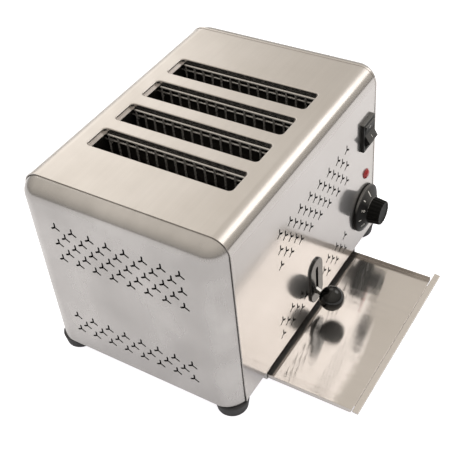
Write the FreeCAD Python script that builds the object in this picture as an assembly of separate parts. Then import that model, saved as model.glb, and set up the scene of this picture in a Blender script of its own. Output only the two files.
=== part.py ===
import FreeCAD, Part
import math
import os

os.makedirs("parts", exist_ok=True)

# A four-slot commercial toaster, millimetres, +Z up, standing on Z = 0.
# X runs along the body, the control wall faces -Y, and the origin is under the middle
# of the whole outline with the crumb tray pulled out.

# Casing
body_length = 300.0
body_depth = 210.0
body_height = 197.0
foot_height = 13.0
sheet = 0.6
seam_inset = 16.0
lap_depth = 6.0
lap_gap = 0.1
wrap_bend_radius = 17.0
cap_corner_radius = 21.0
bottom_bend_radius = 2.0
hem_width = 2.2
hem_rise = 0.35
wrap_flange_depth = 12.0
cap_flange_gap = 0.5
tray_reach = 91.0
gland_reach = 12.0
seat_gap = 0.3

# Bread slots
slot_count = 4
slot_gap = 14.9
slot_left_inset = 69.8
slot_right_inset = 75.5
slot_front_inset = 30.5
slot_back_inset = 28.5
slot_corner_radius = 4.0
slot_rim_depth = 5.0
slot_lip_radius = 1.2
slot_ledge = 2.6

# Vent holes, each an upright Y turned over
vent_arm_length = 5.4
vent_arm_width = 1.9
vent_pitch = 18.5
vent_row_count = 8
cap_upper_vent_y = 64.9
cap_upper_vent_drop = 38.6
cap_lower_vent_y = 67.1
cap_lower_vent_z = 45.5
wall_upper_vent_x = -59.0
wall_upper_vent_drop = 51.9
wall_lower_vent_x = -62.4
wall_lower_vent_z = 39.7
upper_vent_rows = 5
lower_vent_rows = 3

# Feet and fasteners
foot_end_inset = 16.6
foot_wall_inset = 16.0
foot_top_radius = 16.4
foot_bottom_radius = 14.6
foot_edge_radius = 0.8
foot_recess_radius = 5.0
foot_recess_depth = 5.5
foot_screw_radius = 2.0
foot_head_radius = 4.0
foot_head_height = 2.6
screw_slack = 0.1
nut_flats = 7.0
nut_height = 3.2
pan_screw_radius = 1.5
pan_head_radius = 2.8
pan_head_height = 1.6
pan_screw_grip = 6.0
wrap_screw_inset_x = 38.0
wrap_screw_inset_y = 7.0
cap_screw_inset_x = 8.0
cap_screw_inset_y = 55.0

# Heating chamber
base_thickness = 1.2
base_edge_gap = 1.4
base_corner_radius = 19.0
chamber_front_inset = 27.4
chamber_back_inset = 26.4
chamber_sheet = 0.8
chamber_side_gap = 9.0
chamber_top_gap = 0.3
chamber_foot = 7.0
crumb_opening_margin = 4.5
crumb_opening_radius = 6.0
shield_top_drop = 9.0
board_thickness = 0.6
board_low_z = 76.0
board_top_drop = 10.0
board_inset = 2.0
board_tab_height = 8.0
board_tab_reach = 2.0
board_slot_slack = 0.2
winding_gap = 0.05
ribbon_thickness = 0.3
ribbon_height = 1.6
ribbon_turns = 9
ribbon_low_inset = 16.0
ribbon_high_inset = 12.0
riser_width = 2.0
riser_inset = 7.0
element_lead_radius = 0.7
bead_radius = 2.5
bead_bore_gap = 0.1
bead_front = 0.7
bead_back = 2.6
bead_collar_radius = 2.9
bead_collar_width = 1.2
bus_offset = 7.1
bus_thickness = 1.0
bus_height = 10.0
bus_overhang = 6.0
standoff_radius = 4.0
standoff_shift = 10.8

# Bread guides
guide_wire_radius = 1.0
guide_wire_count = 15
guide_end_inset = 3.4
guide_inset = 0.5
guide_weld_offset = 1.4
guide_low_z = 80.0
guide_top_drop = 7.0
guide_top_radius = 1.2
guide_rail_drop = 13.5
guide_rail_low_z = 84.0
guide_rail_reach = 1.2
guide_hole_slack = 0.15

# Lift
lift_travel = 26.5
rack_bar_width = 2.0
rack_bar_height = 8.0
rack_top_z = 83.5
rack_wire_radius = 1.25
rack_wire_sink = 0.4
rack_wire_side_gap = 3.75
rack_wire_end_inset = 7.5
rack_wire_count = 9
rack_tip_rise = 5.0
rack_tail_reach = 3.5
rack_slot_slack = 1.0
carriage_back_inset = 22.0
carriage_thickness = 2.0
carriage_low_z = 69.0
carriage_high_z = 85.0
carriage_tongue_half = 8.0
carriage_tongue_drop = 42.0
tenon_height = 4.0
tenon_slack = 0.1
tenon_reach = 0.8
rod_inset_y = 12.0
rod_radius = 3.0
rod_outset = 5.8
bush_radius = 5.0
bush_length = 16.0
bush_running_gap = 0.05
bush_low_z = 70.0
bush_flange_radius = 6.5
bush_flange_height = 1.6
ear_half = 8.0
ear_thickness = 2.0
ear_low_z = 76.0
collar_radius = 5.5
collar_height = 5.0
bracket_thickness = 2.0
bracket_half = 7.0
bracket_leg = 12.0
bracket_leg_thickness = 1.2
rod_top_reach = 2.0

# Lever
lever_x = 2.1
lever_slot_low = 17.0
lever_slot_high = 52.0
lever_slot_width = 4.4
wall_slot_margin = 1.2
escutcheon_width = 24.2
escutcheon_height = 54.0
escutcheon_thickness = 2.0
escutcheon_edge = 0.6
peg_radius = 1.5
peg_depth = 2.5
peg_slack = 0.1
peg_offset = 22.0
arm_thickness = 3.0
arm_low = 18.2
arm_high = 24.4
arm_taper_start = 1.0
arm_tip_high = 21.4
arm_tip_low = 15.2
arm_tenon_reach = 1.5
ball_radius = 12.4
ball_out = 17.6
ball_height = 16.8
ball_flat = 11.0
ball_bore_depth = 9.0
stud_radius = 1.7
stud_slack = 0.02

# Timer and its dial
timer_end_inset = 39.6
timer_height = 43.6
timer_width = 34.0
timer_depth = 30.0
timer_corner = 3.0
timer_shaft_radius = 3.0
timer_shaft_gap = 0.05
timer_shaft_depth = 22.0
timer_wall_hole = 5.0
timer_screw_offset = 12.0
tab_width = 6.3
tab_thickness = 0.8
tab_length = 8.0
tab_root = 3.0
knob_gap = 1.0
skirt_radius = 25.7
skirt_rim = 3.3
skirt_edge = 0.5
skirt_face_radius = 24.3
grip_start = 8.7
grip_back_radius = 14.0
grip_front_radius = 12.7
knob_length = 21.5
knob_chamfer = 0.8
knob_face_radius = 10.2
knob_face_depth = 0.6
knob_hub_radius = 6.5
knob_cavity_depth = 6.8
knob_cavity_radius = 11.8
knob_cavity_mouth = 1.2
knob_wall = 2.3
knob_bore_depth = 15.0
flute_count = 20
flute_radius = 1.3
flute_bite = 0.55

# Rocker switch
rocker_end_inset = 37.2
rocker_drop = 59.6
bezel_width = 25.0
bezel_height = 32.6
bezel_thickness = 3.6
bezel_corner = 1.5
bezel_chamfer = 0.5
bezel_border = 3.25
rocker_width = 18.0
rocker_side_gap = 0.35
rocker_pivot_depth = 9.0
rocker_tip_radius = 18.5
rocker_tip_angle = 30.4
rocker_tilt = 11.3
rocker_valley = 3.4
rocker_corner_radius = 16.3
rocker_corner_angle = 50.0
rocker_root = 2.5
rocker_root_radius = 13.6
rocker_heel_half = 4.0
rocker_swing_gap = 0.3
switch_wall = 0.8
switch_side_inset = 1.6
switch_cavity_depth = 14.6
switch_depth = 24.0
pivot_pin_radius = 1.5
pivot_pin_reach = 0.8
pivot_pin_gap = 0.05
switch_cutout_gap = 0.2
switch_tab_spread = 7.0
switch_tab_rows = 9.0

# Signal lamp
lamp_end_inset = 35.5
lamp_height = 85.0
lamp_flange_radius = 5.6
lamp_flange = 0.8
lamp_dome = 3.0
lamp_neck_radius = 5.0
lamp_neck_gap = 0.15
lamp_neck_depth = 3.0
lamp_body_radius = 6.0
lamp_body_depth = 18.0
lamp_tab_spread = 3.2
lamp_tab_width = 2.8

# Mains connection
block_end_inset = 29.0
block_back_inset = 36.5
block_width = 42.0
block_depth = 16.0
block_height = 18.0
sleeve_count = 3
sleeve_radius = 2.9
sleeve_bore = 1.6
sleeve_gap = 0.1
sleeve_pitch = 12.0
sleeve_rise = 10.0
gland_end_inset = 40.0
gland_height = 28.0
gland_bore = 4.2
gland_thread_radius = 7.8
gland_hole_slack = 0.2
gland_collar_radius = 11.0
gland_collar = 3.0
gland_tip_radius = 7.4
gland_inner_reach = 8.0
gland_nut_flats = 22.0
gland_nut_height = 4.0
earth_end_inset = 66.0
earth_height = 18.0
earth_radius = 2.0
earth_head_radius = 4.2
earth_head_height = 2.6
earth_depth = 8.0
wire_radius = 1.3
lead_straight = 10.0
lead_side = 6.0
lead_bend_share = 0.45
lead_gather_y = 90.0
lead_gather_spread = 12.0
lead_high_drop = 18.8
lead_low_drop = 12.8
lead_loop_side = 25.6

# Crumb tray
tray_near_inset = 55.0
tray_far_inset = 59.0
tray_short = 12.0
tray_lip_depth = 6.5
tray_floor_drop = 8.6
tray_flange_height = 5.0
tray_corner_gap = 0.05
rail_gap = 0.8
rail_lip = 6.5
rail_lift_gap = 0.3
rail_front_gap = 0.6
rail_back_inset = 10.0
handle_near_inset = 57.0
handle_far_inset = 48.0
handle_tongue = 8.0
handle_side_gap = 2.0
handle_groove = 0.5
handle_crown = 0.1
handle_fall = 0.9
handle_thickness = 1.8
handle_edge = 0.4

# Places worked out from the sizes above
half_length = body_length / 2
front_y = (tray_reach - body_depth - gland_reach) / 2
back_y = front_y + body_depth
bottom_z = foot_height
top_z = bottom_z + body_height
inner_front_y = front_y + sheet
inner_back_y = back_y - sheet
floor_z = bottom_z + sheet
seam_x = half_length - seam_inset
cap_front_y = inner_front_y + lap_gap
cap_back_y = inner_back_y - lap_gap
cap_top_z = top_z - sheet - lap_gap
cap_top_radius = wrap_bend_radius - sheet - lap_gap
cap_inner_x = seam_x - lap_depth
vent_row_pitch = vent_pitch / 2
slot_start_x = slot_left_inset - half_length
slot_end_x = half_length - slot_right_inset
slot_pitch = (slot_end_x - slot_start_x + slot_gap) / slot_count
slot_width = slot_pitch - slot_gap
slot_front_y = front_y + slot_front_inset
slot_back_y = back_y - slot_back_inset
slot_middle_y = (slot_front_y + slot_back_y) / 2
base_top_z = floor_z + base_thickness
plate_front_y = front_y + chamber_front_inset
plate_back_y = back_y - chamber_back_inset
board_first_x = slot_start_x - slot_gap / 2
board_last_x = board_first_x + slot_count * slot_pitch
chamber_left_x = board_first_x - chamber_side_gap
chamber_right_x = board_last_x + chamber_side_gap
chamber_top_z = top_z - sheet - chamber_top_gap
board_front_y = plate_front_y + board_inset
board_back_y = plate_back_y - board_inset
board_high_z = top_z - board_top_drop
ribbon_low_z = board_low_z + ribbon_low_inset
ribbon_high_z = board_high_z - ribbon_high_inset
ribbon_pitch = (ribbon_high_z - ribbon_low_z) / (ribbon_turns - 1)
bus_front_y = plate_back_y + chamber_sheet + bus_offset
guide_high_z = top_z - guide_top_drop
guide_rail_high_z = top_z - guide_rail_drop
guide_wire_pitch = (slot_back_y - slot_front_y - 2 * guide_end_inset) / (guide_wire_count - 1)
rack_wire_half = slot_width / 2 - rack_wire_side_gap
rack_wire_pitch = (slot_back_y - slot_front_y - 2 * rack_wire_end_inset) / (rack_wire_count - 1)
left_rod_x = slot_start_x - rod_outset
right_rod_x = slot_end_x + rod_outset
lever_slot_middle = bottom_z + (lever_slot_low + lever_slot_high) / 2
lever_slot_height = lever_slot_high - lever_slot_low
carriage_back_y = front_y + carriage_back_inset
carriage_front_y = carriage_back_y - carriage_thickness
rod_y = front_y + rod_inset_y
bracket_low_z = bush_low_z + bush_length + lift_travel + seat_gap
timer_x = half_length - timer_end_inset
timer_z = bottom_z + timer_height
rocker_x = half_length - rocker_end_inset
rocker_z = top_z - rocker_drop
rocker_y = front_y + rocker_pivot_depth
lamp_x = half_length - lamp_end_inset
lamp_z = bottom_z + lamp_height
block_x = half_length - block_end_inset
block_y = back_y - block_back_inset
gland_x = half_length - gland_end_inset
gland_z = bottom_z + gland_height
earth_x = half_length - earth_end_inset
earth_z = bottom_z + earth_height
tray_near_x = tray_near_inset - half_length
tray_far_x = half_length - tray_far_inset
tray_front_y = front_y - tray_reach + tray_lip_depth
tray_back_y = tray_front_y + body_depth - tray_short
tray_floor_z = bottom_z - tray_floor_drop


def vector(x, y, z):
    """A point or a direction."""
    return FreeCAD.Vector(x, y, z)


def block(x0, x1, y0, y1, z0, z1):
    """A plain box between two corners."""
    return Part.makeBox(x1 - x0, y1 - y0, z1 - z0, vector(x0, y0, z0))


def rod(radius, start, end):
    """A round bar between two points."""
    return Part.makeCylinder(radius, end.distanceToPoint(start), start, end - start)


def tube(outer, bore, start, end):
    """A round bar with a hole along it."""
    return rod(outer, start, end).cut(rod(bore, start, end))


def joined(shapes):
    """Several overlapping or touching solids made one."""
    first = shapes[0]
    if len(shapes) > 1:
        first = first.fuse(shapes[1:])
    return first.removeSplitter()


def in_plane(plane, a, b, level):
    """A flat point placed in the plane seen along X, Y or Z."""
    places = {"x": (level, a, b), "y": (a, level, b), "z": (a, b, level)}
    return vector(*places[plane])


def outline(points, radii, plane, level):
    """A closed wire through the corners, each rounded by its radius."""
    edges = []
    count = len(points)
    corners = [in_plane(plane, a, b, level) for a, b in points]
    starts, ends, middles = [], [], []
    for i in range(count):
        corner = corners[i]
        before = (corners[i - 1] - corner).normalize()
        after = (corners[(i + 1) % count] - corner).normalize()
        half = before.getAngle(after) / 2
        reach = radii[i] / math.tan(half)
        inward = (before + after).normalize()
        starts.append(corner + before * reach)
        ends.append(corner + after * reach)
        middles.append(corner + inward * (radii[i] / math.sin(half) - radii[i]))
    for i in range(count):
        if radii[i] > 0:
            edges.append(Part.Arc(starts[i], middles[i], ends[i]).toShape())
        following = starts[(i + 1) % count]
        if ends[i].distanceToPoint(following) > 1e-6:
            edges.append(Part.LineSegment(ends[i], following).toShape())
    return Part.Wire(edges)


def plate(points, radii, plane, low, high):
    """A rounded outline made solid between two levels of its plane."""
    if not isinstance(radii, (list, tuple)):
        radii = [radii] * len(points)
    face = Part.Face(outline(points, radii, plane, low))
    return face.extrude(in_plane(plane, 0, 0, high - low))


def rectangle(a0, a1, b0, b1):
    """The four corners of a rectangle in a plane."""
    return [(a0, b0), (a1, b0), (a1, b1), (a0, b1)]


def stadium(middle_a, middle_b, width, height, plane, low, high):
    """A plate with half-round ends, longer along its second direction."""
    corners = rectangle(middle_a - width / 2, middle_a + width / 2,
                        middle_b - height / 2, middle_b + height / 2)
    return plate(corners, width / 2, plane, low, high)


def turned(points, axis_x, axis_z):
    """A solid of revolution about a line along Y; points are radius and Y."""
    corners = [vector(axis_x + r, y, axis_z) for r, y in points]
    face = Part.Face(Part.makePolygon(corners + corners[:1]))
    return face.revolve(vector(axis_x, 0, axis_z), vector(0, 1, 0), 360)


def hexagon(flats, start, height, plane):
    """A six-sided prism standing on a point of its axis."""
    across = flats / math.sqrt(3)
    first = {"z": (start.x, start.y, start.z), "y": (start.x, start.z, start.y)}[plane]
    points = []
    for i in range(6):
        angle = math.radians(60 * i)
        points.append((first[0] + across * math.cos(angle), first[1] + across * math.sin(angle)))
    return plate(points, 0, plane, first[2], first[2] + height)


def mirrored(shape):
    """The same shape on the other side of the middle plane X = 0."""
    return shape.mirror(vector(0, 0, 0), vector(1, 0, 0))


def on_level(edge, z):
    """Whether an edge lies in the level Z = z."""
    return all(abs(v.Z - z) < 1e-4 for v in edge.Vertexes)


def save(name, shape):
    """Writes one sub-part, and says how it came out."""
    if not shape.isValid():
        print("not valid:", name)
    print(name, len(shape.Solids), round(shape.Volume, 1))
    shape.exportStep("parts/" + name + ".step")


def vent_cutter(a, b, plane, low, high):
    """One vent hole: three arms a third of a turn apart, one of them up."""
    half = vent_arm_width / 2
    reach = vent_arm_length - half
    notch = half / math.sin(math.radians(60))
    edges = []
    arms = [90, 210, 330]
    for i in range(3):
        angle = math.radians(arms[i])
        along = (math.cos(angle), math.sin(angle))
        side = (-along[1], along[0])
        corner = math.radians(arms[i] + 60)
        next_arm = math.radians(arms[(i + 1) % 3])
        next_along = (math.cos(next_arm), math.sin(next_arm))
        next_side = (-next_along[1], next_along[0])
        right = in_plane(plane, a + along[0] * reach - side[0] * half,
                         b + along[1] * reach - side[1] * half, low)
        tip = in_plane(plane, a + along[0] * vent_arm_length, b + along[1] * vent_arm_length, low)
        left = in_plane(plane, a + along[0] * reach + side[0] * half,
                        b + along[1] * reach + side[1] * half, low)
        inner = in_plane(plane, a + notch * math.cos(corner), b + notch * math.sin(corner), low)
        following = in_plane(plane, a + next_along[0] * reach - next_side[0] * half,
                             b + next_along[1] * reach - next_side[1] * half, low)
        edges.append(Part.Arc(right, tip, left).toShape())
        edges.append(Part.LineSegment(left, inner).toShape())
        edges.append(Part.LineSegment(inner, following).toShape())
    return Part.Face(Part.Wire(edges)).extrude(in_plane(plane, 0, 0, high - low))


def vent_places(first_a, top_b, rows, direction):
    """Hubs of one band of vents: rows of eight and seven, half a pitch apart."""
    places = []
    for row in range(rows):
        odd = row % 2
        for i in range(vent_row_count - odd):
            a = first_a + direction * (i * vent_pitch + odd * vent_row_pitch)
            places.append((a, top_b - row * vent_row_pitch))
    return places


def cap_vents():
    """Cutters for the vents of the left end cap."""
    middle = (front_y + back_y) / 2
    places = vent_places(middle + cap_upper_vent_y, top_z - cap_upper_vent_drop, upper_vent_rows, -1)
    places += vent_places(middle + cap_lower_vent_y, bottom_z + cap_lower_vent_z, lower_vent_rows, -1)
    low = -half_length - sheet
    high = -half_length + 2 * sheet
    return [vent_cutter(y, z, "x", low, high) for y, z in places]


def under_escutcheon(x, z):
    """Whether a vent's hub would lie under the lever's plate."""
    straight = (escutcheon_height - escutcheon_width) / 2
    beyond = max(abs(z - lever_slot_middle) - straight, 0)
    return math.hypot(x - lever_x, beyond) < escutcheon_width / 2


def wall_vents(low, high, keep_clear):
    """Cutters for the vents of the control wall or of the back wall."""
    places = vent_places(wall_upper_vent_x, top_z - wall_upper_vent_drop, upper_vent_rows, 1)
    places += vent_places(wall_lower_vent_x, bottom_z + wall_lower_vent_z, lower_vent_rows, 1)
    if keep_clear:
        places = [place for place in places if not under_escutcheon(*place)]
    return [vent_cutter(x, z, "y", low, high) for x, z in places]


def wrap_profile(grow, x0, x1):
    """The wrap's section made solid, its outside moved out by grow."""
    corners = rectangle(front_y - grow, back_y + grow, bottom_z - grow, top_z + grow)
    low = max(bottom_bend_radius + grow, 0)
    high = wrap_bend_radius + grow
    return plate(corners, [low, low, high, high], "x", x0, x1)


def slot_prism(index, grow, z0, z1):
    """One bread slot as a solid, its outline moved out by grow."""
    x0 = slot_start_x + index * slot_pitch
    corners = rectangle(x0 - grow, x0 + slot_width + grow, slot_front_y - grow, slot_back_y + grow)
    return plate(corners, slot_corner_radius + grow, "z", z0, z1)


def slot_ledges(index):
    """The narrow returns at the foot of a slot's rim, at its two short ends."""
    low = top_z - slot_rim_depth
    ring = slot_prism(index, sheet / 2, low, low + sheet)
    x = slot_start_x + index * slot_pitch
    middle = block(x - sheet, x + slot_width + sheet, slot_front_y + slot_ledge, slot_back_y - slot_ledge,
                   low - sheet, low + 2 * sheet)
    return ring.cut(middle)


def shell_screw_places():
    """X and Y of the screws under the casing: four in the wrap, four in the caps."""
    places = []
    for side in (-1, 1):
        for y in (front_y + wrap_screw_inset_y, back_y - wrap_screw_inset_y):
            places.append((side * (half_length - wrap_screw_inset_x), y))
        for y in (front_y + cap_screw_inset_y, back_y - cap_screw_inset_y):
            places.append((side * (half_length - cap_screw_inset_x), y))
    return places


def foot_places():
    """X and Y of the four feet."""
    x = half_length - foot_end_inset
    return [(s * x, y) for s in (-1, 1) for y in (front_y + foot_wall_inset, back_y - foot_wall_inset)]


def screw_holes(z0, z1):
    """Cutters for every shell screw and foot screw between two levels."""
    holes = []
    for x, y in shell_screw_places():
        holes.append(rod(pan_screw_radius + screw_slack, vector(x, y, z0), vector(x, y, z1)))
    for x, y in foot_places():
        holes.append(rod(foot_screw_radius + screw_slack, vector(x, y, z0), vector(x, y, z1)))
    return holes


def wrap_cutters():
    """Openings in the two walls of the wrap."""
    out = front_y - sheet
    inn = front_y + 2 * sheet
    slot_width_here = lever_slot_width + 2 * wall_slot_margin
    slot_height_here = lever_slot_height + 2 * wall_slot_margin
    cutters = [stadium(lever_x, lever_slot_middle, slot_width_here, slot_height_here, "y", out, inn)]
    for side in (-1, 1):
        z = lever_slot_middle + side * peg_offset
        cutters.append(rod(peg_radius + peg_slack, vector(lever_x, out, z), vector(lever_x, inn, z)))
    half_x = switch_half_width() + switch_cutout_gap
    half_z = switch_half_height() + switch_cutout_gap
    cutters.append(block(rocker_x - half_x, rocker_x + half_x, out, inn,
                         rocker_z - half_z, rocker_z + half_z))
    cutters.append(rod(lamp_neck_radius + lamp_neck_gap,
                       vector(lamp_x, out, lamp_z), vector(lamp_x, inn, lamp_z)))
    cutters.append(rod(timer_wall_hole, vector(timer_x, out, timer_z), vector(timer_x, inn, timer_z)))
    for side in (-1, 1):
        x = timer_x + side * timer_screw_offset
        cutters.append(rod(pan_screw_radius + screw_slack, vector(x, out, timer_z), vector(x, inn, timer_z)))
    out = back_y + sheet
    inn = back_y - 2 * sheet
    cutters.append(rod(gland_thread_radius + gland_hole_slack,
                       vector(gland_x, inn, gland_z), vector(gland_x, out, gland_z)))
    cutters.append(rod(earth_radius + screw_slack,
                       vector(earth_x, inn, earth_z), vector(earth_x, out, earth_z)))
    cutters += wall_vents(front_y - sheet, front_y + 2 * sheet, True)
    cutters += wall_vents(back_y - 2 * sheet, back_y + sheet, False)
    return cutters


def make_wrap_shell():
    """The folded sheet that is top, control wall and back wall in one."""
    bands = [wrap_profile(hem_rise, -seam_x, -seam_x + hem_width),
             wrap_profile(hem_rise, seam_x - hem_width, seam_x)]
    rims = [slot_prism(i, sheet, top_z - slot_rim_depth, top_z) for i in range(slot_count)]
    hollow = wrap_profile(-sheet, -half_length, half_length)
    shell = wrap_profile(0, -seam_x, seam_x).fuse(bands).cut(hollow).fuse(rims)
    slots = [slot_prism(i, 0, top_z - 2 * slot_rim_depth, top_z + sheet) for i in range(slot_count)]
    flange_end = cap_inner_x - cap_flange_gap
    low = bottom_z - 2 * hem_rise
    bend_top = bottom_z + bottom_bend_radius
    trims = [
        block(-half_length, half_length, front_y + wrap_flange_depth, back_y - wrap_flange_depth,
              low, floor_z + sheet),
        block(-half_length, half_length, front_y - sheet, back_y + sheet, low, bottom_z),
        block(-half_length, -flange_end, inner_front_y, inner_back_y, low, bend_top),
        block(flange_end, half_length, inner_front_y, inner_back_y, low, bend_top),
    ]
    shell = shell.cut(slots + trims).fuse([slot_ledges(i) for i in range(slot_count)]).removeSplitter()
    lips = [edge for edge in shell.Edges if on_level(edge, top_z) and on_slot(edge)]
    shell = shell.makeFillet(slot_lip_radius, lips)
    return shell.cut(wrap_cutters() + screw_holes(bottom_z - sheet, floor_z + sheet))


def on_slot(edge):
    """Whether an edge runs round one of the bread slots."""
    box = edge.BoundBox
    along = box.YMin > slot_front_y - sheet and box.YMax < slot_back_y + sheet
    return along and abs(box.XMin) < seam_x - hem_width


def cap_block(inset):
    """The left end cap as a filled block, its faces moved in by inset."""
    x0 = -half_length + inset
    x1 = -cap_inner_x + (sheet if inset else 0)
    low = bottom_z + inset
    high = cap_top_z - inset
    shape = block(x0, x1, cap_front_y + inset, cap_back_y - inset, low, high)
    at_end = [e for e in shape.Edges if abs(e.BoundBox.XMax - x0) < 1e-4]
    uprights = [e for e in at_end if e.BoundBox.ZLength > body_height / 2]
    shape = shape.makeFillet(cap_corner_radius - inset, uprights)
    top = [e for e in shape.Edges if on_level(e, high) and e.BoundBox.XMin < x1 - 1e-4]
    shape = shape.makeFillet(cap_top_radius - inset, top)
    low_edges = [e for e in shape.Edges if on_level(e, low) and e.BoundBox.XMin < x1 - 1e-4]
    return shape.makeFillet(bottom_bend_radius - inset, low_edges)


def make_left_end_cap():
    """A drawn pan, open towards the middle, that slips under the wrap."""
    cap = cap_block(0).cut(cap_block(sheet))
    return cap.cut(cap_vents() + screw_holes(bottom_z - sheet, floor_z + sheet))


def make_rubber_feet():
    """Four tapered feet with a recess for the screw's head."""
    feet = []
    corners = [
        (foot_screw_radius + screw_slack, foot_recess_depth),
        (foot_recess_radius, foot_recess_depth),
        (foot_recess_radius, 0),
        (foot_bottom_radius - foot_edge_radius, 0),
        (foot_bottom_radius, foot_edge_radius),
        (foot_top_radius, foot_height - foot_edge_radius),
        (foot_top_radius - foot_edge_radius, foot_height),
        (foot_screw_radius + screw_slack, foot_height),
    ]
    for x, y in foot_places():
        points = [vector(x + r, y, z) for r, z in corners]
        face = Part.Face(Part.makePolygon(points + points[:1]))
        feet.append(face.revolve(vector(x, y, 0), vector(0, 0, 1), 360))
    return Part.makeCompound(feet)


def make_foot_screws():
    """Screws from the feet's recesses up through the casing and the base plate."""
    screws = []
    top = base_top_z + nut_height + sheet
    for x, y in foot_places():
        shank = rod(foot_screw_radius, vector(x, y, foot_recess_depth - foot_head_height), vector(x, y, top))
        head = rod(foot_head_radius, vector(x, y, foot_recess_depth - foot_head_height),
                   vector(x, y, foot_recess_depth))
        screws.append(joined([shank, head]))
    return Part.makeCompound(screws)


def make_foot_nuts():
    """Nuts on the base plate over the feet."""
    nuts = []
    for x, y in foot_places():
        nut = hexagon(nut_flats, vector(x, y, base_top_z), nut_height, "z")
        nuts.append(nut.cut(rod(foot_screw_radius + stud_slack, vector(x, y, base_top_z - sheet),
                                vector(x, y, base_top_z + 2 * nut_height))))
    return Part.makeCompound(nuts)


def pan_screw(seat, inward):
    """One pan-head screw, its head seated at a point and its shank going inward."""
    top = seat - inward * pan_head_height
    tip = seat + inward * pan_screw_grip
    return joined([rod(pan_head_radius, top, seat), rod(pan_screw_radius, top, tip)])


def make_pan_screws():
    """Screws that hold wrap and caps to the base plate, and the timer to the wall."""
    screws = [pan_screw(vector(x, y, bottom_z), vector(0, 0, 1)) for x, y in shell_screw_places()]
    for side in (-1, 1):
        seat = vector(timer_x + side * timer_screw_offset, front_y, timer_z)
        screws.append(pan_screw(seat, vector(0, 1, 0)))
    return Part.makeCompound(screws)


def make_base_plate():
    """The floor of the body, open over the crumb tray."""
    x = half_length - base_edge_gap - sheet
    corners = rectangle(-x, x, cap_front_y + sheet + base_edge_gap, cap_back_y - sheet - base_edge_gap)
    floor = plate(corners, base_corner_radius, "z", floor_z, base_top_z)
    opening = rectangle(chamber_left_x + crumb_opening_margin, chamber_right_x - crumb_opening_margin,
                        plate_front_y + crumb_opening_margin, plate_back_y - crumb_opening_margin)
    cutters = [plate(opening, crumb_opening_radius, "z", floor_z - sheet, base_top_z + sheet)]
    cutters += screw_holes(floor_z - sheet, base_top_z + sheet)
    for x in (left_rod_x, right_rod_x):
        cutters.append(rod(rod_radius + screw_slack, vector(x, rod_y, floor_z - sheet),
                           vector(x, rod_y, base_top_z + sheet)))
    return floor.cut(cutters)


def rack_x(index):
    """The middle of one bread slot."""
    return slot_start_x + slot_width / 2 + index * slot_pitch


def board_x(index):
    """The middle of one heater board, between two slots or outside the last."""
    return board_first_x + index * slot_pitch


def guide_x(index, side):
    """The plane of a grid's upright wires, on the left (-1) or right (1) of a slot."""
    return rack_x(index) + side * (slot_width / 2 - guide_inset)


def guide_rail_x(index, side):
    """The level wires lie behind the upright ones, away from the bread."""
    return guide_x(index, side) + side * guide_weld_offset


def chamber_cutters(y0, y1):
    """Holes that both chamber plates share, cut between two levels of Y."""
    cutters = []
    half = rack_bar_width / 2 + rack_slot_slack
    for i in range(slot_count):
        low = rack_top_z - rack_bar_height - rack_slot_slack
        high = rack_top_z + lift_travel + rack_slot_slack
        cutters.append(block(rack_x(i) - half, rack_x(i) + half, y0, y1, low, high))
    half = board_thickness / 2 + board_slot_slack
    for i in range(slot_count + 1):
        for low in (board_low_z, board_high_z - board_tab_height):
            cutters.append(block(board_x(i) - half, board_x(i) + half, y0, y1,
                                 low, low + board_tab_height + board_slot_slack))
    for i in range(slot_count):
        for side in (-1, 1):
            x = guide_rail_x(i, side)
            for z in (guide_rail_low_z, guide_rail_high_z):
                cutters.append(rod(guide_wire_radius + guide_hole_slack, vector(x, y0, z), vector(x, y1, z)))
    return cutters


def chamber_plate(y0, y1, flange_y0, flange_y1):
    """One end of the heating chamber, with a foot flange on the base plate."""
    x0 = chamber_left_x - chamber_sheet
    x1 = chamber_right_x + chamber_sheet
    return joined([block(x0, x1, y0, y1, base_top_z, chamber_top_z),
                   block(x0, x1, flange_y0, flange_y1, base_top_z, base_top_z + chamber_sheet)])


def make_front_chamber_plate():
    """The plate between the heaters and the lift."""
    y0 = plate_front_y - chamber_sheet
    body = chamber_plate(y0, plate_front_y, y0 - chamber_foot, plate_front_y)
    return body.cut(chamber_cutters(y0 - sheet, plate_front_y + sheet))


def lead_levels():
    """The two heights at which the heaters are fed."""
    return (ribbon_low_z + ribbon_height / 2, ribbon_high_z + ribbon_height / 2)


def make_rear_chamber_plate():
    """The plate behind the heaters, which carries the feed."""
    y1 = plate_back_y + chamber_sheet
    body = chamber_plate(plate_back_y, y1, plate_back_y, y1 + chamber_foot)
    cutters = chamber_cutters(plate_back_y - sheet, y1 + sheet)
    for i in range(slot_count + 1):
        for z in lead_levels():
            cutters.append(rod(bead_radius + bead_bore_gap, vector(board_x(i), plate_back_y - sheet, z),
                               vector(board_x(i), y1 + sheet, z)))
    return body.cut(cutters)


def heat_shield(x0, x1, flange_x0, flange_x1):
    """One long side of the heating chamber."""
    top = chamber_top_z - shield_top_drop
    return joined([block(x0, x1, plate_front_y, plate_back_y, base_top_z, top),
                   block(flange_x0, flange_x1, plate_front_y, plate_back_y, base_top_z,
                         base_top_z + chamber_sheet)])


def make_left_heat_shield():
    """The side wall by the left end cap."""
    x0 = chamber_left_x - chamber_sheet
    return heat_shield(x0, chamber_left_x, x0 - chamber_foot, chamber_left_x)


def make_right_heat_shield():
    """The side wall by the electrical bay."""
    x1 = chamber_right_x + chamber_sheet
    return heat_shield(chamber_right_x, x1, chamber_right_x, x1 + chamber_foot)


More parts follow.
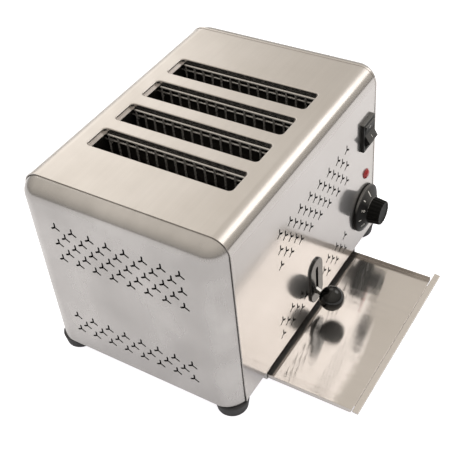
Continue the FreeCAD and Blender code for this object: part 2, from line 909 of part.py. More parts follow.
def make_element_board(index):
    """One mica board, hung by four tabs in the chamber plates."""
    x0 = board_x(index) - board_thickness / 2
    x1 = x0 + board_thickness
    pieces = [block(x0, x1, board_front_y, board_back_y, board_low_z, board_high_z)]
    y0 = plate_front_y - chamber_sheet - board_tab_reach
    y1 = plate_back_y + chamber_sheet + board_tab_reach
    for low in (board_low_z, board_high_z - board_tab_height):
        pieces.append(block(x0, x1, y0, y1, low, low + board_tab_height))
    return joined(pieces)


def make_element_winding(index):
    """Flat heater ribbon in level turns round a board, with its two leads."""
    inner = board_thickness / 2 + winding_gap
    outer = inner + ribbon_thickness
    x = board_x(index)
    front = board_front_y - winding_gap
    back = board_back_y + winding_gap
    pieces = []
    for turn in range(ribbon_turns):
        z0 = ribbon_low_z + turn * ribbon_pitch
        z1 = z0 + ribbon_height
        ring = block(x - outer, x + outer, front - ribbon_thickness, back + ribbon_thickness, z0, z1)
        pieces.append(ring.cut(block(x - inner, x + inner, front, back, z0 - sheet, z1 + sheet)))
        if turn < ribbon_turns - 1:
            y0 = front + riser_inset if turn % 2 == 0 else back - riser_inset - riser_width
            pieces.append(block(x + inner, x + outer, y0, y0 + riser_width, z0, z0 + ribbon_pitch))
    lead_end = bus_front_y + bus_thickness + element_lead_radius
    for z in lead_levels():
        pieces.append(rod(element_lead_radius, vector(x, back, z), vector(x, lead_end, z)))
    return joined(pieces)


def ceramic_beads():
    """Insulating beads in the rear plate, one round each heater lead."""
    beads = []
    y0 = plate_back_y - bead_front
    y1 = plate_back_y + bead_back
    collar = plate_back_y + chamber_sheet
    for i in range(slot_count + 1):
        for z in lead_levels():
            x = board_x(i)
            flange = rod(bead_collar_radius, vector(x, collar, z), vector(x, collar + bead_collar_width, z))
            body = joined([rod(bead_radius, vector(x, y0, z), vector(x, y1, z)), flange])
            beads.append(body.cut(rod(element_lead_radius + bead_bore_gap, vector(x, y0 - sheet, z),
                                      vector(x, y1 + sheet, z))))
    return beads


def ceramic_standoffs():
    """Four insulators between the rear plate and the bus bars."""
    posts = []
    y0 = plate_back_y + chamber_sheet
    for x in (board_x(1) - standoff_shift, board_x(slot_count - 1) + standoff_shift):
        for z in lead_levels():
            posts.append(rod(standoff_radius, vector(x, y0, z), vector(x, bus_front_y, z)))
    return posts


def make_ceramic_insulators():
    """All the ceramic pieces of the heaters' feed."""
    return Part.makeCompound(ceramic_beads() + ceramic_standoffs())


def bus_bar(z):
    """A strip across the leads of all five heaters."""
    x0 = board_first_x - bus_overhang
    x1 = board_last_x + bus_overhang
    y1 = bus_front_y + bus_thickness
    bar = block(x0, x1, bus_front_y, y1, z - bus_height / 2, z + bus_height / 2)
    holes = []
    for i in range(slot_count + 1):
        holes.append(rod(element_lead_radius + bead_bore_gap, vector(board_x(i), bus_front_y - sheet, z),
                         vector(board_x(i), y1 + sheet, z)))
    return bar.cut(holes)


def make_bus_bars():
    """The two bars that feed the bottom and the top turns."""
    return Part.makeCompound([bus_bar(z) for z in lead_levels()])


def make_guide_grid(index, side):
    """Upright wires under a thicker top wire, welded to two level ones behind them."""
    x = guide_x(index, side)
    rail = guide_rail_x(index, side)
    first = slot_middle_y - (guide_wire_count - 1) * guide_wire_pitch / 2
    last = first + (guide_wire_count - 1) * guide_wire_pitch
    pieces = [rod(guide_top_radius, vector(x, first - guide_top_radius, guide_high_z),
                  vector(x, last + guide_top_radius, guide_high_z))]
    for i in range(guide_wire_count):
        y = first + i * guide_wire_pitch
        pieces.append(rod(guide_wire_radius, vector(x, y, guide_low_z), vector(x, y, guide_high_z)))
    y0 = plate_front_y - chamber_sheet - guide_rail_reach
    y1 = plate_back_y + chamber_sheet + guide_rail_reach
    for z in (guide_rail_low_z, guide_rail_high_z):
        pieces.append(rod(guide_wire_radius, vector(rail, y0, z), vector(rail, y1, z)))
    return joined(pieces)


def make_bread_rack(index):
    """An upright bar with cross wires that the bread stands on."""
    x = rack_x(index)
    low = rack_top_z - rack_bar_height
    back = plate_back_y + chamber_sheet + rack_tail_reach
    pieces = [block(x - rack_bar_width / 2, x + rack_bar_width / 2, carriage_back_y, back, low, rack_top_z)]
    middle = (low + rack_top_z) / 2
    pieces.append(block(x - rack_bar_width / 2, x + rack_bar_width / 2,
                        carriage_front_y - tenon_reach, carriage_back_y,
                        middle - tenon_height / 2, middle + tenon_height / 2))
    first = slot_middle_y - (rack_wire_count - 1) * rack_wire_pitch / 2
    z = rack_top_z + rack_wire_radius - rack_wire_sink
    for i in range(rack_wire_count):
        y = first + i * rack_wire_pitch
        pieces.append(rod(rack_wire_radius,
                          vector(x - rack_wire_half, y, z), vector(x + rack_wire_half, y, z)))
        for side in (-1, 1):
            end = x + side * rack_wire_half
            pieces.append(Part.makeSphere(rack_wire_radius, vector(end, y, z)))
            pieces.append(rod(rack_wire_radius, vector(end, y, z), vector(end, y, z + rack_tip_rise)))
    return joined(pieces)


def make_carriage_plate():
    """The cross plate that the lever lifts, with an ear at each guide rod."""
    ear_front = rod_y - ear_half
    x0 = left_rod_x - ear_half
    x1 = right_rod_x + ear_half
    pieces = [block(x0, x1, carriage_front_y, carriage_back_y, carriage_low_z, carriage_high_z)]
    pieces.append(block(lever_x - carriage_tongue_half, lever_x + carriage_tongue_half,
                        carriage_front_y, carriage_back_y,
                        carriage_low_z - carriage_tongue_drop, carriage_low_z))
    for x in (left_rod_x, right_rod_x):
        pieces.append(block(x - ear_half, x + ear_half, ear_front, carriage_front_y,
                            ear_low_z, ear_low_z + ear_thickness))
    cutters = []
    for x in (left_rod_x, right_rod_x):
        cutters.append(rod(bush_radius + stud_slack, vector(x, rod_y, ear_low_z - sheet),
                           vector(x, rod_y, ear_low_z + 2 * ear_thickness)))
    y0 = carriage_front_y - sheet
    y1 = carriage_back_y + sheet
    middle = rack_top_z - rack_bar_height / 2
    half_x = rack_bar_width / 2 + tenon_slack
    half_z = tenon_height / 2 + tenon_slack
    for i in range(slot_count):
        cutters.append(block(rack_x(i) - half_x, rack_x(i) + half_x, y0, y1,
                             middle - half_z, middle + half_z))
    half_x = arm_thickness / 2 + tenon_slack
    cutters.append(block(lever_x - half_x, lever_x + half_x, y0, y1,
                         bottom_z + arm_low - tenon_slack, bottom_z + arm_high + tenon_slack))
    return joined(pieces).cut(cutters)


def make_carriage_bushes():
    """Flanged bushes that run on the guide rods."""
    bushes = []
    for x in (left_rod_x, right_rod_x):
        sleeve = rod(bush_radius, vector(x, rod_y, bush_low_z), vector(x, rod_y, bush_low_z + bush_length))
        flange = rod(bush_flange_radius, vector(x, rod_y, ear_low_z - bush_flange_height),
                     vector(x, rod_y, ear_low_z))
        body = joined([sleeve, flange])
        bushes.append(body.cut(rod(rod_radius + bush_running_gap, vector(x, rod_y, bush_low_z - sheet),
                                   vector(x, rod_y, bush_low_z + bush_length + sheet))))
    return Part.makeCompound(bushes)


def make_guide_rods():
    """Rods from the base plate to their brackets, each with the low stop's collar."""
    rods = []
    top = bracket_low_z + bracket_thickness + rod_top_reach
    collar_top = bush_low_z - seat_gap
    for x in (left_rod_x, right_rod_x):
        rods.append(joined([rod(rod_radius, vector(x, rod_y, floor_z), vector(x, rod_y, top)),
                            rod(collar_radius, vector(x, rod_y, collar_top - collar_height),
                                vector(x, rod_y, collar_top))]))
    return Part.makeCompound(rods)


def make_rod_brackets():
    """Angles on the front chamber plate that hold the tops of the rods."""
    brackets = []
    back = plate_front_y - chamber_sheet
    for x in (left_rod_x, right_rod_x):
        top = bracket_low_z + bracket_thickness
        x0 = x - bracket_half
        x1 = x + bracket_half
        shelf = block(x0, x1, rod_y - bracket_half, back, bracket_low_z, top)
        leg = block(x0, x1, back - bracket_leg_thickness, back, bracket_low_z, top + bracket_leg)
        hole = rod(rod_radius + stud_slack, vector(x, rod_y, bracket_low_z - sheet),
                   vector(x, rod_y, top + sheet))
        brackets.append(joined([shelf, leg]).cut(hole))
    return Part.makeCompound(brackets)


def make_lever_arm():
    """The flat arm from the carriage's tongue out to the ball, ending in a stud."""
    low = bottom_z + arm_low
    high = bottom_z + arm_high
    ball_y = front_y - ball_out
    tip_y = ball_y + ball_flat
    corners = [(carriage_back_y + arm_tenon_reach, low), (carriage_back_y + arm_tenon_reach, high),
               (front_y - arm_taper_start, high), (tip_y, bottom_z + arm_tip_high),
               (tip_y, bottom_z + arm_tip_low), (front_y - escutcheon_thickness, low)]
    arm = plate(corners, 0, "x", lever_x - arm_thickness / 2, lever_x + arm_thickness / 2)
    stud_z = bottom_z + ball_height
    stud = rod(stud_radius, vector(lever_x, tip_y + stud_radius, stud_z),
               vector(lever_x, tip_y - ball_bore_depth + seat_gap, stud_z))
    return joined([arm, stud])


def make_ball_knob():
    """The ball, flat where it meets the arm, with a bore for the stud."""
    y = front_y - ball_out
    z = bottom_z + ball_height
    ball = Part.makeSphere(ball_radius, vector(lever_x, y, z))
    back = block(lever_x - ball_radius, lever_x + ball_radius, y + ball_flat, y + 2 * ball_radius,
                 z - ball_radius, z + ball_radius)
    bore = rod(stud_radius + stud_slack, vector(lever_x, y + ball_flat + sheet, z),
               vector(lever_x, y + ball_flat - ball_bore_depth, z))
    return ball.cut([back, bore])


def make_lever_escutcheon():
    """The plate round the lever's slot, held by two pegs in the wall."""
    face_y = front_y - escutcheon_thickness
    body = stadium(lever_x, lever_slot_middle, escutcheon_width, escutcheon_height, "y", face_y, front_y)
    rim = [e for e in body.Edges if abs(e.BoundBox.YMax - face_y) < 1e-4]
    body = body.makeFillet(escutcheon_edge, rim)
    pegs = []
    for side in (-1, 1):
        z = lever_slot_middle + side * peg_offset
        pegs.append(rod(peg_radius, vector(lever_x, front_y - sheet, z),
                        vector(lever_x, front_y + peg_depth, z)))
    slot = stadium(lever_x, lever_slot_middle, lever_slot_width, lever_slot_height, "y",
                   face_y - sheet, front_y + sheet)
    return joined([body] + pegs).cut(slot)


def make_timer_body():
    """The clockwork timer's case, against the back of the control wall."""
    half = timer_width / 2
    y1 = inner_front_y + timer_depth
    case = plate(rectangle(timer_x - half, timer_x + half, timer_z - half, timer_z + half), timer_corner,
                 "y", inner_front_y, y1)
    cutters = [rod(timer_shaft_radius + timer_shaft_gap, vector(timer_x, front_y, timer_z),
                   vector(timer_x, inner_front_y + timer_shaft_depth + seat_gap, timer_z))]
    for side in (-1, 1):
        x = timer_x + side * timer_screw_offset
        cutters.append(rod(pan_screw_radius + stud_slack, vector(x, front_y, timer_z),
                           vector(x, front_y + pan_screw_grip + seat_gap, timer_z)))
    for place in timer_tab_places():
        cutters.append(tab_block(place, y1 - tab_root, y1 + sheet, stud_slack))
    return case.cut(cutters)


def timer_tab_places():
    """X and Z of the three terminals on the timer's back."""
    step = timer_width / 3
    return [(timer_x - step, timer_z), (timer_x, timer_z), (timer_x + step, timer_z)]


def tab_block(place, y0, y1, grow):
    """An upright spade terminal, or the pocket for it."""
    x, z = place
    half = tab_thickness / 2 + grow
    tall = tab_width / 2 + grow
    return block(x - half, x + half, y0, y1, z - tall, z + tall)


def make_timer_shaft():
    """The shaft from the clockwork out into the dial."""
    end = front_y - knob_gap - knob_bore_depth + seat_gap
    return rod(timer_shaft_radius, vector(timer_x, inner_front_y + timer_shaft_depth, timer_z),
               vector(timer_x, end, timer_z))


def make_timer_knob():
    """The dial: a flared skirt under a tapered, fluted grip."""
    back = front_y - knob_gap
    front = back - knob_length
    face = front + knob_face_depth
    outer = [
        (0, back),
        (skirt_radius, back),
        (skirt_radius, back - skirt_rim + skirt_edge),
        (skirt_face_radius, back - skirt_rim),
        (grip_back_radius, back - grip_start),
        (grip_front_radius, front + knob_chamfer),
        (grip_front_radius - knob_chamfer, front),
        (knob_face_radius, front),
        (knob_face_radius - knob_face_depth, face),
        (0, face),
    ]
    knob = turned(outer, timer_x, timer_z)
    cavity = [
        (knob_hub_radius, back + sheet),
        (knob_hub_radius, back - knob_cavity_depth),
        (knob_cavity_radius, back - knob_cavity_depth),
        (skirt_radius - knob_wall, back - knob_cavity_mouth),
        (skirt_radius - knob_wall, back + sheet),
    ]
    cutters = [turned(cavity, timer_x, timer_z)]
    cutters.append(rod(timer_shaft_radius + stud_slack, vector(timer_x, back + sheet, timer_z),
                       vector(timer_x, back - knob_bore_depth, timer_z)))
    for i in range(flute_count):
        angle = 2 * math.pi * i / flute_count
        ends = []
        for radius, y in ((grip_back_radius, back - grip_start), (grip_front_radius, front)):
            reach = radius + flute_radius - flute_bite
            ends.append(vector(timer_x + reach * math.cos(angle), y, timer_z + reach * math.sin(angle)))
        cutters.append(rod(flute_radius, ends[0], ends[1]))
    return knob.cut(cutters)


def switch_half_height():
    """Half the height of the switch's case behind the wall."""
    pressed = math.radians(rocker_corner_angle + rocker_tilt)
    return rocker_corner_radius * math.sin(pressed) + rocker_swing_gap + switch_wall


def switch_half_width():
    """Half the width of the switch's case behind the wall."""
    return bezel_width / 2 - switch_side_inset


def make_switch_housing():
    """The switch's case and bezel, hollow for the rocker's swing."""
    half_z = switch_half_height()
    half_x = switch_half_width()
    bezel = plate(rectangle(rocker_x - bezel_width / 2, rocker_x + bezel_width / 2,
                            rocker_z - bezel_height / 2, rocker_z + bezel_height / 2), bezel_corner,
                  "y", front_y - bezel_thickness, front_y)
    edge = [e for e in bezel.Edges if abs(e.BoundBox.YMax - front_y + bezel_thickness) < 1e-4]
    bezel = bezel.makeChamfer(bezel_chamfer, edge)
    case = block(rocker_x - half_x, rocker_x + half_x, front_y, front_y + switch_depth,
                 rocker_z - half_z, rocker_z + half_z)
    open_x = rocker_width / 2 + rocker_side_gap
    inner_z = half_z - switch_wall
    face_y = front_y - bezel_thickness
    mouth_z = bezel_height / 2 - bezel_border
    upper = [(face_y - sheet, mouth_z), (face_y, mouth_z), (front_y, inner_z - rocker_swing_gap)]
    lower = [(y, -z) for y, z in reversed(upper)]
    mouth = plate([(y, rocker_z + z) for y, z in upper + lower], 0, "x", rocker_x - open_x, rocker_x + open_x)
    cavity = block(rocker_x - open_x, rocker_x + open_x, front_y, front_y + switch_cavity_depth,
                   rocker_z - inner_z, rocker_z + inner_z)
    reach = rocker_width / 2 + pivot_pin_reach + 2 * pivot_pin_gap
    pin = rod(pivot_pin_radius + pivot_pin_gap, vector(rocker_x - reach, rocker_y, rocker_z),
              vector(rocker_x + reach, rocker_y, rocker_z))
    cutters = [mouth, cavity, pin]
    back = front_y + switch_depth
    for place in switch_tab_places():
        cutters.append(tab_block(place, back - tab_root, back + sheet, stud_slack))
    return joined([bezel, case]).cut(cutters)


def switch_tab_places():
    """X and Z of the four terminals on the switch's back."""
    signs = [(-1, -1), (-1, 1), (1, -1), (1, 1)]
    return [(rocker_x + a * switch_tab_spread, rocker_z + b * switch_tab_rows) for a, b in signs]


def make_switch_rocker():
    """The rocker, shown with its lower end out, on two pivot pins."""
    tip = math.radians(rocker_tip_angle)
    corner = math.radians(rocker_corner_angle)
    tip_out = rocker_tip_radius * math.cos(tip)
    root_up = math.sqrt(rocker_root_radius ** 2 - rocker_root ** 2)
    half = [(tip_out - rocker_valley, 0), (tip_out, rocker_tip_radius * math.sin(tip)),
            (rocker_corner_radius * math.cos(corner), rocker_corner_radius * math.sin(corner)),
            (rocker_root, root_up), (-rocker_root, rocker_heel_half)]
    points = half + [(out, -up) for out, up in reversed(half[1:])]
    corners = [(rocker_y - out, rocker_z + up) for out, up in points]
    body = plate(corners, 0, "x", rocker_x - rocker_width / 2, rocker_x + rocker_width / 2)
    reach = rocker_width / 2 + pivot_pin_reach
    pin = rod(pivot_pin_radius, vector(rocker_x - reach, rocker_y, rocker_z),
              vector(rocker_x + reach, rocker_y, rocker_z))
    rocker = joined([body, pin])
    rocker.rotate(vector(rocker_x, rocker_y, rocker_z), vector(1, 0, 0), -rocker_tilt)
    return rocker


def make_lamp_lens():
    """The lamp's domed lens, clipped through the wall."""
    face = front_y - lamp_flange
    dome_radius = (lamp_neck_radius ** 2 + (lamp_dome - lamp_flange) ** 2) / (2 * (lamp_dome - lamp_flange))
    ball = Part.makeSphere(dome_radius, vector(lamp_x, front_y - lamp_dome + dome_radius, lamp_z))
    front = block(lamp_x - lamp_neck_radius, lamp_x + lamp_neck_radius, front_y - lamp_dome - sheet,
                  face + lamp_flange / 2, lamp_z - lamp_neck_radius, lamp_z + lamp_neck_radius)
    flange = rod(lamp_flange_radius, vector(lamp_x, face, lamp_z), vector(lamp_x, front_y, lamp_z))
    neck = rod(lamp_neck_radius, vector(lamp_x, face, lamp_z),
               vector(lamp_x, front_y + lamp_neck_depth, lamp_z))
    return joined([ball.common(front), flange, neck])


def make_lamp_body():
    """The lamp's holder behind the wall, with two terminals."""
    y0 = front_y + lamp_neck_depth
    y1 = y0 + lamp_body_depth
    pieces = [rod(lamp_body_radius, vector(lamp_x, y0, lamp_z), vector(lamp_x, y1, lamp_z))]
    for side in (-1, 1):
        x = lamp_x + side * lamp_tab_spread
        pieces.append(block(x - tab_thickness / 2, x + tab_thickness / 2, y1 - sheet, y1 + tab_length,
                            lamp_z - lamp_tab_width / 2, lamp_z + lamp_tab_width / 2))
    return joined(pieces)


def sleeve_places():
    """X of the block's three sleeves."""
    return [block_x + (i - (sleeve_count - 1) / 2) * sleeve_pitch for i in range(sleeve_count)]


def make_terminal_block():
    """The ceramic block on the base plate where the mains cord is joined."""
    body = block(block_x - block_width / 2, block_x + block_width / 2, block_y - block_depth / 2,
                 block_y + block_depth / 2, base_top_z, base_top_z + block_height)
    z = base_top_z + sleeve_rise
    cutters = []
    for x in sleeve_places():
        cutters.append(rod(sleeve_radius + sleeve_gap, vector(x, block_y - block_depth, z),
                           vector(x, block_y + block_depth, z)))
    return body.cut(cutters)


def make_brass_terminals():
    """The spade terminals of timer and switch, and the terminal block's sleeves."""
    timer_back = inner_front_y + timer_depth
    switch_back = front_y + switch_depth
    pieces = []
    for place in timer_tab_places():
        pieces.append(tab_block(place, timer_back - tab_root, timer_back + tab_length, 0))
    for place in switch_tab_places():
        pieces.append(tab_block(place, switch_back - tab_root, switch_back + tab_length, 0))
    z = base_top_z + sleeve_rise
    half = block_depth / 2
    for x in sleeve_places():
        pieces.append(tube(sleeve_radius, sleeve_bore,
                           vector(x, block_y - half, z), vector(x, block_y + half, z)))
    return Part.makeCompound(pieces)


def make_cord_gland():
    """The cord's gland: collar and tapered nose outside, thread through the wall."""
    inner = inner_back_y - gland_inner_reach
    tip = back_y + gland_reach
    points = [
        (gland_bore, inner),
        (gland_thread_radius, inner),
        (gland_thread_radius, back_y),
        (gland_collar_radius, back_y),
        (gland_collar_radius, back_y + gland_collar),
        (gland_thread_radius + sheet, back_y + gland_collar + sheet),
        (gland_tip_radius, tip),
        (gland_bore, tip),
    ]
    return turned(points, gland_x, gland_z)


def make_gland_nut():
    """The gland's hexagonal nut on the inside of the back wall."""
    start = vector(gland_x, inner_back_y - gland_nut_height, gland_z)
    nut = hexagon(gland_nut_flats, start, gland_nut_height, "y")
    return nut.cut(rod(gland_thread_radius + stud_slack, vector(gland_x, start.y - sheet, gland_z),
                       vector(gland_x, back_y, gland_z)))


def make_earth_screw():
    """The earth screw through the back wall, with its washer and nut."""
    head = back_y + earth_head_height
    inner = inner_back_y - earth_depth
    nut = hexagon(nut_flats, vector(earth_x, inner_back_y - nut_height, earth_z), nut_height, "y")
    return joined([rod(earth_head_radius, vector(earth_x, back_y, earth_z), vector(earth_x, head, earth_z)),
                   rod(earth_radius, vector(earth_x, inner, earth_z), vector(earth_x, head, earth_z)), nut])


def make_tray_rail():
    """The left channel: hung from the wrap's flanges, with a lip under the tray."""
    web = tray_near_x - rail_gap
    lip_top = tray_floor_z - rail_lift_gap
    y0 = front_y + rail_front_gap
    y1 = back_y - rail_back_inset
    return joined([block(web - sheet, web, y0, y1, lip_top - sheet, bottom_z),
                   block(web - sheet, web + rail_lip, y0, y1, bottom_z - sheet, bottom_z),
                   block(web - sheet, web + rail_lip, y0, y1, lip_top - sheet, lip_top)])


def make_crumb_tray():
    """The sheet tray with folded sides and back, open in front."""
    rim = tray_floor_z + tray_flange_height
    floor_top = tray_floor_z + sheet
    return joined([block(tray_near_x, tray_far_x, tray_front_y, tray_back_y, tray_floor_z, floor_top),
                   block(tray_near_x, tray_near_x + sheet, tray_front_y, tray_back_y, tray_floor_z, rim),
                   block(tray_far_x - sheet, tray_far_x, tray_front_y, tray_back_y, tray_floor_z, rim),
                   block(tray_near_x, tray_far_x, tray_back_y - sheet, tray_back_y, tray_floor_z, rim)])


def make_tray_handle():
    """The folded lip along the tray's front, on a tongue under its floor."""
    x0 = handle_near_inset - half_length
    x1 = half_length - handle_far_inset
    inner = tray_front_y - handle_groove
    outer = tray_front_y - tray_lip_depth
    top = tray_floor_z + sheet + handle_crown
    corners = [(inner, top), (inner, top - handle_thickness), (outer, top - handle_fall - handle_thickness),
               (outer, top - handle_fall)]
    lip = plate(corners, [handle_edge, 0, handle_edge, handle_edge], "x", x0, x1)
    side = rail_lip + handle_side_gap
    tongue = block(tray_near_x + side, tray_far_x - side, inner - sheet, tray_front_y + handle_tongue,
                   tray_floor_z - sheet, tray_floor_z)
    return joined([lip, tongue])


def lead_path(points):
    """A wire's path: straight runs joined by tangent arcs at each inner point."""
    edges = []
    place = points[0]
    for i in range(1, len(points) - 1):
        corner = points[i]
        before = points[i - 1] - corner
        after = points[i + 1] - corner
        half = before.getAngle(after) / 2
        reach = lead_bend_share * min(before.Length, after.Length)
        before.normalize()
        after.normalize()
        radius = reach * math.tan(half)
        inward = (before + after).normalize()
        middle = corner + inward * (radius / math.sin(half) - radius)
        start = corner + before * reach
        end = corner + after * reach
        edges.append(Part.LineSegment(place, start).toShape())
        edges.append(Part.Arc(start, middle, end).toShape())
        place = end
    edges.append(Part.LineSegment(place, points[-1]).toShape())
    return Part.Wire(edges)


def lead(points):
    """One insulated wire along its path."""
    path = lead_path(points)
    ring = Part.Wire(Part.Circle(points[0], points[1] - points[0], wire_radius).toShape())
    return path.makePipeShell([ring], True, False)


def tab_end(place, y):
    """A point on the line of a spade terminal."""
    x, z = place
    return vector(x, y, z)


def make_internal_leads():
    """The wires between terminal block, switch, timer, lamp and bus bars."""
    sleeves = sleeve_places()
    z = base_top_z + sleeve_rise
    block_front = block_y - block_depth / 2
    switch_back = front_y + switch_depth + tab_length
    timer_back = inner_front_y + timer_depth + tab_length
    lamp_back = front_y + lamp_neck_depth + lamp_body_depth + tab_length
    switch_tabs = switch_tab_places()
    timer_tabs = timer_tab_places()
    bus_x = board_last_x + bus_overhang - wire_radius - seat_gap
    levels = lead_levels()
    bus_back = bus_front_y + bus_thickness
    run = lead_straight
    corner_x = chamber_right_x + lead_side
    gather_y = front_y + lead_gather_y
    gather_z = (timer_z + rocker_z) / 2 - lead_gather_spread
    first_down = vector(sleeves[0] - lead_side, gather_y, gather_z)
    second_down = vector(sleeves[1] + lead_side, gather_y, gather_z)
    high_turn = vector(corner_x, slot_middle_y + lead_gather_spread, levels[1] - lead_high_drop)
    low_turn = vector(corner_x, slot_middle_y + lead_gather_spread, levels[0] - lead_low_drop)
    side_turn = vector(timer_x + lead_loop_side, front_y + switch_depth + 3 * run, (timer_z + rocker_z) / 2)
    lamp_tab_x = lamp_x - lamp_tab_spread
    routes = [
        [vector(sleeves[0], block_front, z), vector(sleeves[0], block_front - 2 * run, z), first_down,
         tab_end(switch_tabs[0], switch_back + run), tab_end(switch_tabs[0], switch_back)],
        [vector(sleeves[1], block_front, z), vector(sleeves[1], block_front - 2 * run, z), second_down,
         tab_end(switch_tabs[2], switch_back + run), tab_end(switch_tabs[2], switch_back)],
        [tab_end(switch_tabs[1], switch_back), tab_end(switch_tabs[1], switch_back + run), high_turn,
         vector(corner_x, plate_back_y, levels[1]), vector(bus_x, bus_back + run, levels[1]),
         vector(bus_x, bus_back, levels[1])],
        [tab_end(timer_tabs[0], timer_back), tab_end(timer_tabs[0], timer_back + run), low_turn,
         vector(corner_x, plate_back_y, levels[0]), vector(bus_x, bus_back + run, levels[0]),
         vector(bus_x, bus_back, levels[0])],
        [tab_end(switch_tabs[3], switch_back), tab_end(switch_tabs[3], switch_back + run), side_turn,
         tab_end(timer_tabs[2], timer_back + run), tab_end(timer_tabs[2], timer_back)],
        [vector(lamp_tab_x, lamp_back, lamp_z), vector(lamp_tab_x, lamp_back + run, lamp_z),
         tab_end(timer_tabs[1], timer_back + run), tab_end(timer_tabs[1], timer_back)],
    ]
    return Part.makeCompound([lead(route) for route in routes])


save("wrap_shell", make_wrap_shell())
left_cap = make_left_end_cap()
save("left_end_cap", left_cap)
save("right_end_cap", mirrored(left_cap))
save("rubber_feet", make_rubber_feet())
save("foot_screws", make_foot_screws())
save("foot_nuts", make_foot_nuts())
save("pan_screws", make_pan_screws())
save("base_plate", make_base_plate())
save("front_chamber_plate", make_front_chamber_plate())
save("rear_chamber_plate", make_rear_chamber_plate())
save("left_heat_shield", make_left_heat_shield())
save("right_heat_shield", make_right_heat_shield())
for number in range(slot_count + 1):
    save("element_board_%d" % (number + 1), make_element_board(number))
    save("element_winding_%d" % (number + 1), make_element_winding(number))
save("ceramic_insulators", make_ceramic_insulators())
save("bus_bars", make_bus_bars())
for number in range(slot_count):
    save("guide_grid_%d" % (2 * number + 1), make_guide_grid(number, -1))
    save("guide_grid_%d" % (2 * number + 2), make_guide_grid(number, 1))
    save("bread_rack_%d" % (number + 1), make_bread_rack(number))
save("carriage_plate", make_carriage_plate())
save("carriage_bushes", make_carriage_bushes())
save("guide_rods", make_guide_rods())
save("rod_brackets", make_rod_brackets())
save("lever_arm", make_lever_arm())
save("ball_knob", make_ball_knob())
save("lever_escutcheon", make_lever_escutcheon())
save("timer_body", make_timer_body())
save("timer_shaft", make_timer_shaft())
save("timer_knob", make_timer_knob())
save("switch_housing", make_switch_housing())
save("switch_rocker", make_switch_rocker())
save("lamp_lens", make_lamp_lens())
save("lamp_body", make_lamp_body())
save("terminal_block", make_terminal_block())
save("brass_terminals", make_brass_terminals())
save("cord_gland", make_cord_gland())
save("gland_nut", make_gland_nut())
save("earth_screw", make_earth_screw())
left_rail = make_tray_rail()
save("left_tray_rail", left_rail)
far_shift = tray_near_x + tray_far_x
right_rail = mirrored(left_rail)
right_rail.translate(vector(far_shift, 0, 0))
save("right_tray_rail", right_rail)
save("crumb_tray", make_crumb_tray())
save("tray_handle", make_tray_handle())
save("internal_leads", make_internal_leads())
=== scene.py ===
import logging
import math
from dataclasses import dataclass, field
from enum import Enum
from typing import Callable, Sequence

import bmesh
import bpy
import numpy as np
from mathutils import Matrix, Vector


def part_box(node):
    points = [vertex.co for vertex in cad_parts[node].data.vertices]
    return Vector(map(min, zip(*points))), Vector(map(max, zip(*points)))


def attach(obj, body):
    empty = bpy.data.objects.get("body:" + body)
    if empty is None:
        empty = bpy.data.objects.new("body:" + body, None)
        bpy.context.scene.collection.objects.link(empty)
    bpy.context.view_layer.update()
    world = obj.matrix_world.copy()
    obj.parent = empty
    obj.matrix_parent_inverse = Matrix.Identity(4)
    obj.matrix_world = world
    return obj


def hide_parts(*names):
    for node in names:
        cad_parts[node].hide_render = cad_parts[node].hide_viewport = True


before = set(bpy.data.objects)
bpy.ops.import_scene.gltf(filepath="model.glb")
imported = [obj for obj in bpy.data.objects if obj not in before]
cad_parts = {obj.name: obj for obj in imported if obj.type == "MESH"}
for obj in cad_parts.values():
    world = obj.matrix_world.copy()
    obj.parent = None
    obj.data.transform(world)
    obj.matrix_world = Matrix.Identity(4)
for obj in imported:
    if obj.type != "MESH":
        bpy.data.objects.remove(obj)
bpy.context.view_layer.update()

# A four-slot commercial toaster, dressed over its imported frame. Metres, +Z up,
# and the control wall faces -Y, as in the frame.

log = logging.getLogger("toaster")

Piece = bpy.types.Object
Node = bpy.types.Node
Socket = bpy.types.NodeSocket
Tree = bpy.types.NodeTree
Triple = tuple[float, float, float]

VALUE = "NodeSocketFloat"
COLOUR = "NodeSocketColor"
VECTOR = "NodeSocketVector"

MM = 0.001
TURN = 2.0 * math.pi
MERGE_REACH = 0.002 * MM
SLIVER_REACH = 0.001 * MM
CAD_MERGE_REACH = 0.0005 * MM
CAD_FLAT_ANGLE = math.radians(0.4)
SHARP_ANGLE = math.radians(28.0)
WIRE_SHARP_ANGLE = math.radians(50.0)
DIAL_GAP = 1.0 * MM


class Body(Enum):
    """The bodies of the frame that a piece can ride on."""

    ROOT = "root"
    TRAY = "tray"
    CARRIAGE = "carriage"
    DIAL = "dial"
    ROCKER = "rocker"


class Grain(Enum):
    """The direction that a sheet was brushed in, as how much each axis shrinks the pattern."""

    ALONG_X = (22.0, 1500.0, 1500.0)
    ALONG_Y = (1500.0, 22.0, 1500.0)
    ALONG_Z = (1500.0, 1500.0, 22.0)


@dataclass(frozen=True)
class Extent:
    """The box of a CAD node at rest, in metres."""

    low: Vector
    high: Vector

    @classmethod
    def of(cls, node: str) -> "Extent":
        """Reads the box of one node from the frame."""
        return cls(*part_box(node))

    @property
    def middle(self) -> Vector:
        """The middle of the box."""
        return (self.low + self.high) / 2

    @property
    def size(self) -> Vector:
        """The three side lengths of the box."""
        return self.high - self.low


def control_wall_y() -> float:
    """Y of the control wall's outside, which the dial's back stands off by a small gap."""
    return Extent.of("timer_knob").high.y + DIAL_GAP


def rounded_ends(u: np.ndarray) -> np.ndarray:
    """Share of a stroke's width at u from -1 to 1 along it: sqrt(1 - u^10), no less than 0.14."""
    return np.sqrt(np.clip(1.0 - u ** 10, 0.02, 1.0))


def linked(name: str, data: bpy.types.ID) -> Piece:
    """Makes an object of some data and puts it in the scene.

    Args:
        name: The object's name.
        data: Its mesh, curve, lamp or camera.

    Returns:
        The object, at the origin.
    """
    piece = bpy.data.objects.new(name, data)
    bpy.context.scene.collection.objects.link(piece)
    return piece


